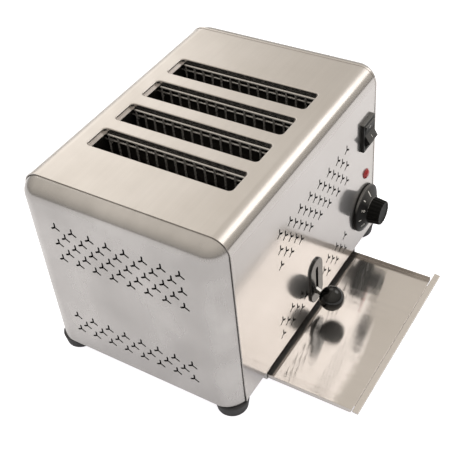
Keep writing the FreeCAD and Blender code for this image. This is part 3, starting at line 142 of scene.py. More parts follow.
def closed_grid(rows: int, columns: int, wrap_rows: bool, wrap_columns: bool) -> np.ndarray:
    """Numbers the four corners of every cell of a grid of points.

    Args:
        rows: How many points the grid has along its first parameter.
        columns: How many it has along its second.
        wrap_rows: Whether the last row joins the first.
        wrap_columns: Whether the last column joins the first.

    Returns:
        One row of four point numbers for each cell.
    """
    i = np.arange(rows if wrap_rows else rows - 1)[:, None]
    j = np.arange(columns if wrap_columns else columns - 1)[None, :]
    below = (i + 1) % rows
    right = (j + 1) % columns
    cells = np.stack(np.broadcast_arrays(i * columns + j, i * columns + right,
                                         below * columns + right, below * columns + j), axis=-1)
    return cells.reshape(-1, 4)


def surface(name: str, points: np.ndarray, wrap_rows: bool = False, wrap_columns: bool = True) -> Piece:
    """Makes one piece from a grid of points, with its seams and poles closed.

    Args:
        name: The piece's name.
        points: The grid, as rows by columns by three.
        wrap_rows: Whether the last row joins the first.
        wrap_columns: Whether the last column joins the first.

    Returns:
        The new object, at the origin, with its faces turned outwards.
    """
    rows, columns = points.shape[:2]
    mesh = bpy.data.meshes.new(name)
    mesh.from_pydata(points.reshape(-1, 3).tolist(), [],
                     closed_grid(rows, columns, wrap_rows, wrap_columns).tolist())
    work = bmesh.new()
    work.from_mesh(mesh)
    bmesh.ops.remove_doubles(work, verts=work.verts, dist=MERGE_REACH)
    bmesh.ops.dissolve_degenerate(work, edges=work.edges, dist=SLIVER_REACH)
    bmesh.ops.recalc_face_normals(work, faces=work.faces)
    work.to_mesh(mesh)
    work.free()
    mesh.shade_smooth()
    return linked(name, mesh)


def rounded_profile(corners: Sequence[Triple], steps: int) -> np.ndarray:
    """Rounds the corners of an open profile.

    Each corner is (a, b, reach). The round starts and ends at that reach on the corner's
    two runs, but never past a run's middle. Between those two points it is the quadratic
    curve that has the corner as its control point, which a small fillet can't be told from.

    Args:
        corners: The profile's corners in order.
        steps: How many points a round has beyond its first.

    Returns:
        The profile's points, one (a, b) a row.
    """
    places = np.array([corner[:2] for corner in corners])
    points = [places[0]]
    t = np.linspace(0.0, 1.0, steps + 1)[:, None]
    for index in range(1, len(corners) - 1):
        reach = corners[index][2]
        if reach <= 0.0:
            points.append(places[index])
            continue
        before = places[index - 1] - places[index]
        after = places[index + 1] - places[index]
        start = places[index] + before * min(reach / np.linalg.norm(before), 0.5)
        end = places[index] + after * min(reach / np.linalg.norm(after), 0.5)
        points.extend((1 - t) ** 2 * start + 2 * t * (1 - t) * places[index] + t ** 2 * end)
    points.append(places[-1])
    return np.array(points)


def lathe(name: str, profile: np.ndarray, axis_x: float, axis_z: float, steps: int,
          shape: Callable[[np.ndarray, np.ndarray], np.ndarray] | None = None) -> Piece:
    """Turns a profile about a line along Y.

    The point for profile row (r, y) and angle t is (axis_x + r cos t, y, axis_z + r sin t).

    Args:
        name: The piece's name.
        profile: Radius and Y of each point, in metres.
        axis_x: X of the axis.
        axis_z: Z of the axis.
        steps: How many angles there are.
        shape: Changes the grid of radii, given the radii and the angles.

    Returns:
        The turned piece.
    """
    angles = np.arange(steps) * TURN / steps
    radii = np.repeat(profile[:, :1], steps, axis=1)
    if shape is not None:
        radii = shape(radii, angles[None, :])
    points = np.empty((len(profile), steps, 3))
    points[..., 0] = axis_x + radii * np.cos(angles)
    points[..., 1] = profile[:, 1:]
    points[..., 2] = axis_z + radii * np.sin(angles)
    return surface(name, points)


def placed(piece: Piece, body: Body, finish: "Finish", slot: str, *replaced: str) -> Piece:
    """Gives a new piece its body and its finish, and hides the nodes that it stands for.

    Args:
        piece: The new piece, already in place.
        body: The body that it moves with.
        finish: The finish that it wears.
        slot: The record's material slot of that finish. It is not used.
        replaced: The CAD nodes that it stands for.

    Returns:
        The same piece.
    """
    piece.data.materials.clear()
    piece.data.materials.append(finish.material())
    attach(piece, body.value)
    if replaced:
        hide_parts(*replaced)
    log.info("%s rides on %s", piece.name, body.value)
    return piece


def dressed(node: str, finish: "Finish") -> None:
    """Gives a CAD node that keeps its own mesh a finish.

    Args:
        node: The node's name.
        finish: The finish that it wears.
    """
    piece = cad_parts[node]
    if not piece.material_slots:
        piece.data.materials.append(None)
    for place in piece.material_slots:
        place.material = finish.material()
    log.info("%s keeps its mesh", node)


def honed(node: str, name: str, body: Body, finish: "Finish", slot: str, edge: float,
          segments: int = 2, sharp: float = SHARP_ANGLE) -> None:
    """Puts a copy with merged points and rounded edges in the place of a CAD node.

    Args:
        node: The CAD node to copy and to stand for.
        name: The new piece's name.
        body: The body that it moves with.
        finish: The finish that it wears.
        slot: The record's material slot of that finish, passed on to placed. It is not used.
        edge: The width of the rounding, in metres; none where it is zero.
        segments: How many faces the rounding has.
        sharp: The angle from which an edge counts as sharp.
    """
    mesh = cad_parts[node].data.copy()
    mesh.name = name
    work = bmesh.new()
    work.from_mesh(mesh)
    bmesh.ops.remove_doubles(work, verts=work.verts, dist=CAD_MERGE_REACH)
    bmesh.ops.dissolve_limit(work, angle_limit=CAD_FLAT_ANGLE, verts=work.verts, edges=work.edges)
    for joint in work.edges:
        joint.smooth = len(joint.link_faces) == 2 and joint.calc_face_angle(0.0) < sharp
    work.to_mesh(mesh)
    work.free()
    mesh.polygons.foreach_set("use_smooth", np.ones(len(mesh.polygons), bool))
    piece = linked(name, mesh)
    if edge > 0.0:
        bevel = piece.modifiers.new("rounded edges", "BEVEL")
        bevel.limit_method = "ANGLE"
        bevel.angle_limit = sharp
        bevel.width = edge
        bevel.segments = segments
        bevel.use_clamp_overlap = True
        bevel.miter_outer = "MITER_ARC"
    weighted = piece.modifiers.new("flat faces stay flat", "WEIGHTED_NORMAL")
    weighted.keep_sharp = True
    weighted.weight = 100
    placed(piece, body, finish, slot, node)


class Sheet:
    """A node tree with short ways to add nodes and to join them."""

    def __init__(self, tree: Tree) -> None:
        """Keeps the tree that the nodes go into."""
        self.tree = tree

    def feed(self, node: Node, label: str | int, value: object) -> None:
        """Sets one input to a value, or links it to an output.

        Args:
            node: The node.
            label: The input's name or number.
            value: An output socket, or a value; a colour's alpha is always one.
        """
        socket = node.inputs[label]
        if isinstance(value, Socket):
            self.tree.links.new(value, socket)
        elif isinstance(value, tuple) and socket.type == "RGBA":
            socket.default_value = (*value[:3], 1.0)
        else:
            socket.default_value = value

    def fill(self, node: Node, **inputs: object) -> Node:
        """Sets or links the inputs of a node.

        Args:
            node: The node.
            inputs: What each input gets, by the input's name with _ for a space.

        Returns:
            The same node.
        """
        for label, value in inputs.items():
            self.feed(node, label.replace("_", " "), value)
        return node

    def add(self, kind: str, **inputs: object) -> Node:
        """Adds one node and fills its inputs."""
        return self.fill(self.tree.nodes.new(kind), **inputs)

    def two_sided(self, kind: str, operation: str, first: object, second: object) -> Node:
        """Adds a Math or Vector Math node.

        Args:
            kind: The node's type.
            operation: What it does with its two inputs.
            first: A value or a socket.
            second: A value or a socket.

        Returns:
            The node.
        """
        node = self.tree.nodes.new(kind)
        node.operation = operation
        self.feed(node, 0, first)
        self.feed(node, 1, second)
        return node

    def math(self, operation: str, first: object, second: object) -> Socket:
        """Adds one Math node and returns its output."""
        return self.two_sided("ShaderNodeMath", operation, first, second).outputs[0]

    def times(self, first: object, second: object) -> Socket:
        """Multiplies two values."""
        return self.math("MULTIPLY", first, second)

    def scaled(self, place: Socket, amounts: object) -> Socket:
        """Multiplies a place by three amounts."""
        return self.two_sided("ShaderNodeVectorMath", "MULTIPLY", place, amounts).outputs[0]

    def mix(self, factor: object, first: object, second: object, kind: str = "MIX") -> Socket:
        """Mixes two colours, which a Mix node takes at its inputs 6 and 7 and gives at output 2.

        Args:
            factor: The second colour's share.
            first: A colour or a socket.
            second: A colour or a socket.
            kind: How they are mixed.

        Returns:
            The mixed colour.
        """
        node = self.tree.nodes.new("ShaderNodeMix")
        node.data_type = "RGBA"
        node.blend_type = kind
        self.feed(node, 0, factor)
        self.feed(node, 6, first)
        self.feed(node, 7, second)
        return node.outputs[2]

    def ramp(self, value: Socket, low: float, high: float, out_low: float = 0.0,
             out_high: float = 1.0) -> Socket:
        """Maps a value from one range to another, held at both ends.

        Args:
            value: The value.
            low: Where its range starts.
            high: Where its range ends.
            out_low: What the start becomes.
            out_high: What the end becomes.

        Returns:
            The mapped value.
        """
        node = self.tree.nodes.new("ShaderNodeMapRange")
        node.clamp = True
        for index, part in enumerate((value, low, high, out_low, out_high)):
            self.feed(node, index, part)
        return node.outputs[0]

    def noise(self, place: Socket, scale: object, detail: float = 2.0, rough: float = 0.5) -> Socket:
        """Adds one noise texture.

        Args:
            place: Where it is read.
            scale: How many of its hills a metre holds.
            detail: How many finer layers it has.
            rough: How strong each finer layer is.

        Returns:
            Its value.
        """
        return self.add("ShaderNodeTexNoise", Scale=scale, Detail=detail, Roughness=rough,
                        Vector=place).outputs["Fac"]

    def group(self, tree: Tree, **inputs: object) -> bpy.types.bpy_prop_collection:
        """Places a shared group.

        Args:
            tree: The group.
            inputs: What each input gets, by its name with _ for a space.

        Returns:
            The outputs of the group's node.
        """
        node = self.tree.nodes.new("ShaderNodeGroup")
        node.node_tree = tree
        return self.fill(node, **inputs).outputs

    def raised(self, height: Socket, distance: float, strength: float = 1.0,
               normal: Socket | None = None) -> Socket:
        """Raises the surface by a height.

        Args:
            height: The height, from 0 to 1.
            distance: How high 1 is, in metres.
            strength: How much of the change shows.
            normal: The normal to start from, where it isn't the surface's own.

        Returns:
            The changed normal.
        """
        node = self.add("ShaderNodeBump", Strength=strength, Distance=distance, Height=height)
        if normal is not None:
            self.feed(node, "Normal", normal)
        return node.outputs[0]

    def here(self) -> Socket:
        """Object coordinates, on which every pattern lies."""
        return self.add("ShaderNodeTexCoord").outputs["Object"]

    def upward(self) -> Socket:
        """How far the surface faces up: the Z of its normal."""
        normal = self.add("ShaderNodeNewGeometry").outputs["Normal"]
        return self.add("ShaderNodeSeparateXYZ", Vector=normal).outputs["Z"]


class Effect(Sheet):
    """A shader group in the making, with its named inputs and outputs."""

    def __init__(self, name: str, inputs: dict[str, tuple[str, object]],
                 outputs: dict[str, str]) -> None:
        """Starts the group.

        Args:
            name: The group's name.
            inputs: Socket type and default of each input.
            outputs: Socket type of each output.
        """
        super().__init__(bpy.data.node_groups.new(name, "ShaderNodeTree"))
        for label, (kind, value) in inputs.items():
            socket = self.tree.interface.new_socket(name=label, in_out="INPUT", socket_type=kind)
            socket.default_value = value
        for label, kind in outputs.items():
            self.tree.interface.new_socket(name=label, in_out="OUTPUT", socket_type=kind)
        entry = self.tree.nodes.new("NodeGroupInput")
        self.given = {socket.name: socket for socket in entry.outputs if socket.name}
        self.out = self.tree.nodes.new("NodeGroupOutput")


def brushed_group() -> Tree:
    """Brushing: fine lines along one way, wider soft streaks, and broad clouds of handling.

    Height is the fine lines. Roughness is the base, plus the spread times patches and
    lines. Colour is the base, turned towards the tint by the clouds and then darkened by
    the lines and the streaks.

    Returns:
        The group.
    """
    cloud_scale = 14.0
    patch_scale = 55.0
    streak_share = (0.14, 0.14, 0.14)
    line_shade = (0.45, 0.45, 0.46)
    effect = Effect(
        "brushed sheet",
        {"Stretch": (VECTOR, Grain.ALONG_X.value), "Base": (COLOUR, (0.6, 0.6, 0.6, 1.0)),
         "Tint": (COLOUR, (0.6, 0.55, 0.5, 1.0)), "Line depth": (VALUE, 0.1),
         "Cloud depth": (VALUE, 0.2), "Roughness": (VALUE, 0.25), "Spread": (VALUE, 0.08)},
        {"Colour": COLOUR, "Roughness": VALUE, "Height": VALUE})
    given = effect.given
    place = effect.here()
    along = effect.scaled(place, given["Stretch"])
    lines = effect.noise(along, 1.0, 4.0, 0.65)
    line_share = effect.ramp(lines, 0.3, 0.7)
    streaks = effect.ramp(effect.noise(effect.scaled(along, streak_share), 1.0), 0.35, 0.7)
    clouds = effect.ramp(effect.noise(place, cloud_scale, 3.0, 0.55), 0.35, 0.68)
    patches = effect.ramp(effect.noise(place, patch_scale, 2.0, 0.6), 0.3, 0.75)
    dark = effect.math("ADD", effect.times(line_share, given["Line depth"]),
                       effect.times(streaks, given["Line depth"]))
    tinted = effect.mix(effect.times(clouds, given["Cloud depth"]), given["Base"], given["Tint"])
    rise = effect.times(effect.math("ADD", patches, line_share), given["Spread"])
    effect.fill(effect.out, Colour=effect.mix(dark, tinted, line_shade, "MULTIPLY"),
                Roughness=effect.math("ADD", given["Roughness"], rise), Height=lines)
    return effect.tree


def worn_edge_group() -> Tree:
    """Wear on edges: how far a surface's normal turns within a small radius, broken by noise.

    Returns:
        The group.
    """
    effect = Effect(
        "worn edges",
        {"Radius": (VALUE, 0.6 * MM), "Amount": (VALUE, 1.0), "Break": (VALUE, 500.0)},
        {"Mask": VALUE})
    given = effect.given
    soft = effect.add("ShaderNodeBevel", Radius=given["Radius"])
    soft.samples = 4
    true_normal = effect.add("ShaderNodeNewGeometry").outputs["Normal"]
    facing = effect.two_sided("ShaderNodeVectorMath", "DOT_PRODUCT", soft.outputs[0], true_normal)
    turn = effect.ramp(facing.outputs["Value"], 0.98, 0.72)
    broken = effect.ramp(effect.noise(effect.here(), given["Break"], 3.0), 0.35, 0.6)
    effect.fill(effect.out, Mask=effect.times(effect.times(turn, broken), given["Amount"]))
    return effect.tree


def grain_group() -> Tree:
    """Grain of a cast or moulded surface: fine pits for height, and soft patches of sheen.

    Returns:
        The group.
    """
    patch_scale = 90.0
    effect = Effect(
        "moulded grain",
        {"Scale": (VALUE, 3000.0), "Base": (COLOUR, (0.02, 0.02, 0.02, 1.0)),
         "Fade": (COLOUR, (0.05, 0.05, 0.05, 1.0)), "Fade depth": (VALUE, 0.4),
         "Roughness": (VALUE, 0.4), "Spread": (VALUE, 0.1)},
        {"Colour": COLOUR, "Roughness": VALUE, "Height": VALUE})
    given = effect.given
    place = effect.here()
    pits = effect.noise(place, given["Scale"], 3.0, 0.6)
    patches = effect.noise(place, patch_scale, 3.0, 0.6)
    faded = effect.times(effect.ramp(patches, 0.38, 0.72), given["Fade depth"])
    rise = effect.times(effect.ramp(patches, 0.3, 0.75), given["Spread"])
    effect.fill(effect.out, Colour=effect.mix(faded, given["Base"], given["Fade"]),
                Roughness=effect.math("ADD", given["Roughness"], rise), Height=pits)
    return effect.tree


@dataclass(frozen=True)
class EffectShelf:
    """The shader groups that the finishes share."""

    brushed: Tree
    worn: Tree
    grain: Tree


effects = EffectShelf(brushed_group(), worn_edge_group(), grain_group())

made: dict[str, bpy.types.Material] = {}


@dataclass(frozen=True)
class Finish:
    """A finish: it makes its material once and hands out the same one after that."""

    name: str

    def material(self) -> bpy.types.Material:
        """Hands out the finish's material.

        Returns:
            The material, made on the first call.
        """
        if self.name not in made:
            material = bpy.data.materials.new(self.name)
            material.use_nodes = True
            tree = material.node_tree
            self.paint(Sheet(tree), tree.nodes["Principled BSDF"])
            made[self.name] = material
        return made[self.name]

    def paint(self, sheet: Sheet, shader: Node) -> None:
        """Fills the inputs of the material's shader."""
        raise NotImplementedError


@dataclass(frozen=True)
class SheetSteel(Finish):
    """Stainless sheet with brushed lines, clouds of handling and brighter worn edges."""

    colour: Triple = (0.60, 0.58, 0.56)
    tint: Triple = (0.56, 0.51, 0.45)
    grain: Grain = Grain.ALONG_X
    roughness: float = 0.24
    spread: float = 0.06
    line_depth: float = 0.12
    cloud_depth: float = 0.3
    line_height: float = 0.002 * MM
    ripple_height: float = 0.0
    ripple_share: float = 0.06
    wave_height: float = 0.04 * MM
    wave_scale: float = 11.0
    haze_index: float = 2.0
    haze_roughness: float = 0.5
    top_wear: float = 0.0
    edge_colour: Triple = (0.80, 0.79, 0.78)
    edge_radius: float = 0.5 * MM
    edge_amount: float = 0.6
    edge_break: float = 400.0

    def paint(self, sheet: Sheet, shader: Node) -> None:
        """Metal whose colour, sheen and relief come from the brushing group, on wavy sheet.

        Args:
            sheet: The material's node tree.
            shader: Its Principled BSDF.
        """
        skin = sheet.group(effects.brushed, Stretch=self.grain.value, Base=self.colour, Tint=self.tint,
                           Line_depth=self.line_depth, Cloud_depth=self.cloud_depth,
                           Roughness=self.roughness, Spread=self.spread)
        edge = sheet.group(effects.worn, Radius=self.edge_radius, Amount=self.edge_amount,
                           Break=self.edge_break)["Mask"]
        worn = sheet.ramp(sheet.upward(), 0.6, 1.0, 0.0, self.top_wear)
        place = sheet.here()
        normal = sheet.raised(sheet.noise(place, self.wave_scale, 1.0), self.wave_height)
        if self.ripple_height:
            along = sheet.scaled(place, tuple(self.ripple_share * amount for amount in self.grain.value))
            normal = sheet.raised(sheet.noise(along, 1.0, 1.0), self.ripple_height, normal=normal)
        sheet.fill(shader, Base_Color=sheet.mix(edge, skin["Colour"], self.edge_colour),
                   Roughness=sheet.math("ADD", skin["Roughness"], worn),
                   Normal=sheet.raised(skin["Height"], self.line_height, normal=normal),
                   Metallic=1.0, Coat_Weight=1.0, Coat_Roughness=self.haze_roughness,
                   Coat_IOR=self.haze_index)


@dataclass(frozen=True)
class HeatedSteel(Finish):
    """Plain sheet inside the chamber, painted near black as the shade of the closed chamber, straw-coloured
    and smoked where the heaters warm it.
    """

    # All three colours are kept very dark: painted shade of the closed chamber, under the heat colours.
    colour: Triple = (0.12, 0.115, 0.11)
    straw: Triple = (0.08, 0.058, 0.04)
    smoke: Triple = (0.03, 0.027, 0.027)
    roughness: float = 0.38
    warm_scale: float = 22.0
    fine_scale: float = 260.0
    pit_height: float = 0.05 * MM
    pit_strength: float = 0.15

    def paint(self, sheet: Sheet, shader: Node) -> None:
        """Metal with two depths of heat colour, laid on by noise.

        Args:
            sheet: The material's node tree.
            shader: Its Principled BSDF.
        """
        place = sheet.here()
        warm = sheet.noise(place, self.warm_scale, 4.0, 0.6)
        fine = sheet.noise(place, self.fine_scale, 3.0, 0.6)
        warmed = sheet.mix(sheet.ramp(warm, 0.4, 0.75, 0.0, 0.7), self.colour, self.straw)
        sheet.fill(shader, Base_Color=sheet.mix(sheet.ramp(fine, 0.5, 0.8, 0.0, 0.6), warmed, self.smoke),
                   Roughness=sheet.ramp(fine, 0.3, 0.8, self.roughness, self.roughness + 0.25),
                   Metallic=1.0, Normal=sheet.raised(fine, self.pit_height, self.pit_strength))


@dataclass(frozen=True)
class Moulded(Finish):
    """Moulded or cast stuff: plastic, rubber or glazed ceramic."""

    colour: Triple = (0.015, 0.015, 0.015)
    fade: Triple = (0.05, 0.05, 0.05)
    fade_depth: float = 0.35
    roughness: float = 0.4
    spread: float = 0.1
    pit_scale: float = 3200.0
    pit_height: float = 0.05 * MM
    pit_strength: float = 0.15
    specular: float = 0.5
    coat: float = 0.0
    coat_roughness: float = 0.05
    edge_colour: Triple = (0.08, 0.08, 0.08)
    edge_radius: float = 0.4 * MM
    edge_amount: float = 0.5
    edge_break: float = 900.0
    # A pale film on upward faces: partly dust, partly a painted sheen of light from above.
    dust_and_sheen: float = 0.0
    dust_and_sheen_colour: Triple = (0.28, 0.28, 0.28)

    def paint(self, sheet: Sheet, shader: Node) -> None:
        """Pits and faded patches from the grain group, paler worn edges, and on upward faces a pale film
        that is partly dust and partly painted sheen.

        Args:
            sheet: The material's node tree.
            shader: Its Principled BSDF.
        """
        skin = sheet.group(effects.grain, Scale=self.pit_scale, Base=self.colour, Fade=self.fade,
                           Fade_depth=self.fade_depth, Roughness=self.roughness, Spread=self.spread)
        edge = sheet.group(effects.worn, Radius=self.edge_radius, Amount=self.edge_amount,
                           Break=self.edge_break)["Mask"]
        colour = sheet.mix(edge, skin["Colour"], self.edge_colour)
        # Upward faces turn paler: dust, plus a painted sheen where light falls from above.
        if self.dust_and_sheen:
            specks = sheet.ramp(skin["Height"], 0.35, 0.65, 0.4, 1.0)
            dust_and_sheen_film = sheet.times(sheet.ramp(sheet.upward(), 0.36, 0.7, 0.0, self.dust_and_sheen), specks)
            colour = sheet.mix(dust_and_sheen_film, colour, self.dust_and_sheen_colour)
        sheet.fill(shader, Base_Color=colour, Roughness=skin["Roughness"],
                   Specular_IOR_Level=self.specular, Coat_Weight=self.coat,
                   Coat_Roughness=self.coat_roughness,
                   Normal=sheet.raised(skin["Height"], self.pit_height, self.pit_strength))


@dataclass(frozen=True)
class Mica(Finish):
    """Pressed mica board: smoky brown painted near black as the shade inside the slots, with glinting flakes
    and scorched clouds.
    """

    # These colours are kept near black: painted shade inside the slots.
    colour: Triple = (0.016, 0.014, 0.012)
    flake: Triple = (0.035, 0.030, 0.025)
    scorch: Triple = (0.012, 0.010, 0.008)
    roughness: float = 0.55
    flake_scale: float = 620.0
    scorch_scale: float = 30.0
    flake_height: float = 0.05 * MM
    flake_strength: float = 0.2

    def paint(self, sheet: Sheet, shader: Node) -> None:
        """Flakes are cells of a Voronoi pattern; scorch is broad noise.

        Args:
            sheet: The material's node tree.
            shader: Its Principled BSDF.
        """
        place = sheet.here()
        cells = sheet.add("ShaderNodeTexVoronoi", Scale=self.flake_scale, Vector=place).outputs
        scorch = sheet.ramp(sheet.noise(place, self.scorch_scale, 3.0), 0.42, 0.75, 0.0, 0.7)
        flakes = sheet.mix(sheet.ramp(cells["Color"], 0.45, 0.9), self.colour, self.flake)
        sheet.fill(shader, Base_Color=sheet.mix(scorch, flakes, self.scorch),
                   Roughness=sheet.ramp(cells["Distance"], 0.0, 0.7, self.roughness - 0.2,
                                        self.roughness + 0.2),
                   Normal=sheet.raised(cells["Distance"], self.flake_height, self.flake_strength))


@dataclass(frozen=True)
class BareMetal(Finish):
    """Small metal parts: brass, heater ribbon, plated wire and screws."""

    colour: Triple = (0.62, 0.47, 0.22)
    oxide: Triple = (0.30, 0.20, 0.10)
    oxide_depth: float = 0.6
    roughness: float = 0.28
    scale: float = 700.0
    broad_share: float = 1.0 / 12.0
    metal: float = 1.0
    speck_height: float = 0.03 * MM
    speck_strength: float = 0.12

    def paint(self, sheet: Sheet, shader: Node) -> None:
        """Metal with speckled oxide that is also duller.

        Args:
            sheet: The material's node tree.
            shader: Its Principled BSDF.
        """
        place = sheet.here()
        speck = sheet.noise(place, self.scale, 4.0, 0.65)
        broad = sheet.noise(place, self.scale * self.broad_share)
        mask = sheet.times(sheet.ramp(speck, 0.4, 0.75), sheet.ramp(broad, 0.3, 0.7, 0.3, 1.0))
        depth = sheet.times(mask, self.oxide_depth)
        sheet.fill(shader, Base_Color=sheet.mix(depth, self.colour, self.oxide),
                   Roughness=sheet.ramp(mask, 0.0, 1.0, self.roughness, self.roughness + 0.3),
                   Metallic=self.metal,
                   Normal=sheet.raised(speck, self.speck_height, self.speck_strength))


@dataclass(frozen=True)
class RedLens(Finish):
    """Clear red plastic with darker bands."""

    colour: Triple = (0.52, 0.004, 0.008)
    deep: Triple = (0.15, 0.001, 0.002)
    roughness: float = 0.12
    rib_scale: float = 260.0
    haze_scale: float = 400.0
    specular: float = 0.3
    coat: float = 0.5
    coat_roughness: float = 0.1

    def paint(self, sheet: Sheet, shader: Node) -> None:
        """Ribs inside the lens show as bands of depth.

        Args:
            sheet: The material's node tree.
            shader: Its Principled BSDF.
        """
        place = sheet.here()
        ribs = sheet.add("ShaderNodeTexWave", Scale=self.rib_scale, Distortion=1.5, Detail=1.0,
                         Vector=place)
        ribs.bands_direction = "Z"
        depth = sheet.ramp(ribs.outputs["Fac"], 0.2, 0.9, 0.15, 0.8)
        haze = sheet.noise(place, self.haze_scale)
        sheet.fill(shader, Base_Color=sheet.mix(depth, self.colour, self.deep),
                   Roughness=sheet.ramp(haze, 0.3, 0.7, self.roughness, self.roughness + 0.1),
                   Specular_IOR_Level=self.specular, Coat_Weight=self.coat,
                   Coat_Roughness=self.coat_roughness)


@dataclass(frozen=True)
class Marking(Finish):
    """Printed or moulded-in paint of the dial's and the switch's marks, slightly rubbed."""

    colour: Triple = (0.92, 0.92, 0.90)
    rubbed: Triple = (0.60, 0.60, 0.59)
    thin_scale: float = 2200.0

    def paint(self, sheet: Sheet, shader: Node) -> None:
        """Paint with thin places.

        Args:
            sheet: The material's node tree.
            shader: Its Principled BSDF.
        """
        thin = sheet.noise(sheet.here(), self.thin_scale, 3.0)
        sheet.fill(shader, Base_Color=sheet.mix(sheet.ramp(thin, 0.5, 0.8), self.colour, self.rubbed),
                   Roughness=sheet.ramp(thin, 0.3, 0.7, 0.4, 0.6))


@dataclass(frozen=True)
class Sleeving(Finish):
    """Braided glass-fibre sleeve of the heat-proof leads."""

    colour: Triple = (0.62, 0.58, 0.50)
    # Darker colour of the braid's low places: painted shade between the strands.
    gap_shade: Triple = (0.30, 0.26, 0.20)
    braid_scale: float = 420.0
    braid_height: float = 0.1 * MM
    braid_strength: float = 0.5

    def paint(self, sheet: Sheet, shader: Node) -> None:
        """Two crossing waves make the braid, and its low places take the darker colour as painted shade
        between the strands.

        Args:
            sheet: The material's node tree.
            shader: Its Principled BSDF.
        """
        place = sheet.here()
        waves = []
        for way in (place, sheet.scaled(place, (1.0, -1.0, 1.0))):
            wave = sheet.add("ShaderNodeTexWave", Scale=self.braid_scale, Vector=way)
            wave.bands_direction = "DIAGONAL"
            waves.append(wave.outputs["Fac"])
        braid = sheet.times(*waves)
        sheet.fill(shader, Base_Color=sheet.mix(sheet.ramp(braid, 0.0, 0.5), self.gap_shade, self.colour),
                   Roughness=sheet.ramp(braid, 0.0, 0.6, 0.85, 0.6),
                   Normal=sheet.raised(braid, self.braid_height, self.braid_strength))


cap_steel = SheetSteel(
    "cap steel", colour=(0.50, 0.482, 0.475), tint=(0.36, 0.345, 0.338), grain=Grain.ALONG_Z,
    roughness=0.17, spread=0.04, line_depth=0.05, cloud_depth=0.9)
wrap_steel = SheetSteel(
    "wrap steel", colour=(0.52, 0.492, 0.475), tint=(0.45, 0.42, 0.395), grain=Grain.ALONG_X,
    roughness=0.08, spread=0.04, line_depth=0.07, cloud_depth=0.6, top_wear=0.24)
tray_steel = SheetSteel(
    "tray steel", colour=(0.53, 0.50, 0.48), tint=(0.46, 0.43, 0.40), grain=Grain.ALONG_Y,
    roughness=0.03, spread=0.02, line_depth=0.03, cloud_depth=0.3, line_height=0.06 * MM,
    ripple_height=0.22 * MM, wave_height=0.2 * MM, wave_scale=14.0)
rail_steel = SheetSteel("rail steel", colour=(0.52, 0.50, 0.48), grain=Grain.ALONG_Y, roughness=0.3)
lever_steel = SheetSteel(
    "lever steel", colour=(0.36, 0.35, 0.34), tint=(0.30, 0.285, 0.27), grain=Grain.ALONG_Y,
    roughness=0.22, haze_index=1.2)
# Very dark sheet: painted shade inside the chamber.
shade_dark_chamber_steel = HeatedSteel("shade dark chamber steel")
base_steel = SheetSteel(
    "base steel", colour=(0.20, 0.195, 0.19), tint=(0.14, 0.13, 0.12), grain=Grain.ALONG_X,
    roughness=0.35, haze_index=1.2)
wire_steel = BareMetal(
    "wire steel", colour=(0.62, 0.61, 0.60), oxide=(0.22, 0.19, 0.17), oxide_depth=0.5,
    roughness=0.2, metal=0.7)
screw_steel = BareMetal("screw steel", colour=(0.62, 0.61, 0.60), oxide=(0.28, 0.26, 0.24), oxide_depth=0.4)
brass = BareMetal("brass")
ribbon_metal = BareMetal(
    "heater ribbon", colour=(0.09, 0.08, 0.075), oxide=(0.04, 0.034, 0.036), oxide_depth=0.8,
    roughness=0.4)
ball_plastic = Moulded(
    "ball plastic", colour=(0.003, 0.003, 0.003), fade=(0.006, 0.006, 0.006), roughness=0.03,
    spread=0.02, pit_strength=0.01, specular=0.45, edge_amount=0.2)
plate_plastic = Moulded(
    "plate plastic", colour=(0.010, 0.010, 0.0105), fade=(0.016, 0.016, 0.017), roughness=0.13,
    spread=0.05, pit_strength=0.03)
# The dial's top is painted paler: dust and a painted sheen of light from above.
knob_plastic = Moulded(
    "knob plastic", colour=(0.005, 0.005, 0.005), fade=(0.014, 0.014, 0.014), fade_depth=0.5,
    roughness=0.36, pit_scale=1500.0, pit_strength=0.3, specular=0.12, dust_and_sheen=0.8)
grip_plastic = Moulded(
    "grip plastic", colour=(0.004, 0.004, 0.0037), fade=(0.008, 0.008, 0.0075), roughness=0.42,
    specular=0.08, edge_amount=0.15)
# The switch's top is painted paler: dust and a painted sheen of light from above.
switch_plastic = Moulded(
    "switch plastic", colour=(0.006, 0.006, 0.006), fade=(0.014, 0.014, 0.014), roughness=0.42,
    pit_scale=1800.0, specular=0.2, dust_and_sheen=0.8)
gland_plastic = Moulded("gland plastic", colour=(0.02, 0.02, 0.02), roughness=0.45)
foot_rubber = Moulded(
    "foot rubber", colour=(0.026, 0.027, 0.031), fade=(0.07, 0.07, 0.075), fade_depth=0.5,
    roughness=0.62, pit_scale=1800.0, pit_strength=0.3, edge_colour=(0.10, 0.10, 0.105))
timer_plastic = Moulded(
    "timer case plastic", colour=(0.62, 0.60, 0.54), fade=(0.5, 0.46, 0.38), roughness=0.45,
    edge_colour=(0.75, 0.73, 0.68))
glazed_ceramic = Moulded(
    "glazed ceramic", colour=(0.74, 0.72, 0.66), fade=(0.6, 0.54, 0.44), roughness=0.22,
    pit_scale=1500.0, edge_colour=(0.8, 0.79, 0.75), coat=0.3)
# Near-black board: painted shade inside the slots.
shade_dark_mica_board = Mica("shade dark mica board")
red_plastic = RedLens("red lens plastic")
mark_paint = Marking("mark paint")
sleeve_braid = Sleeving("lead sleeve")


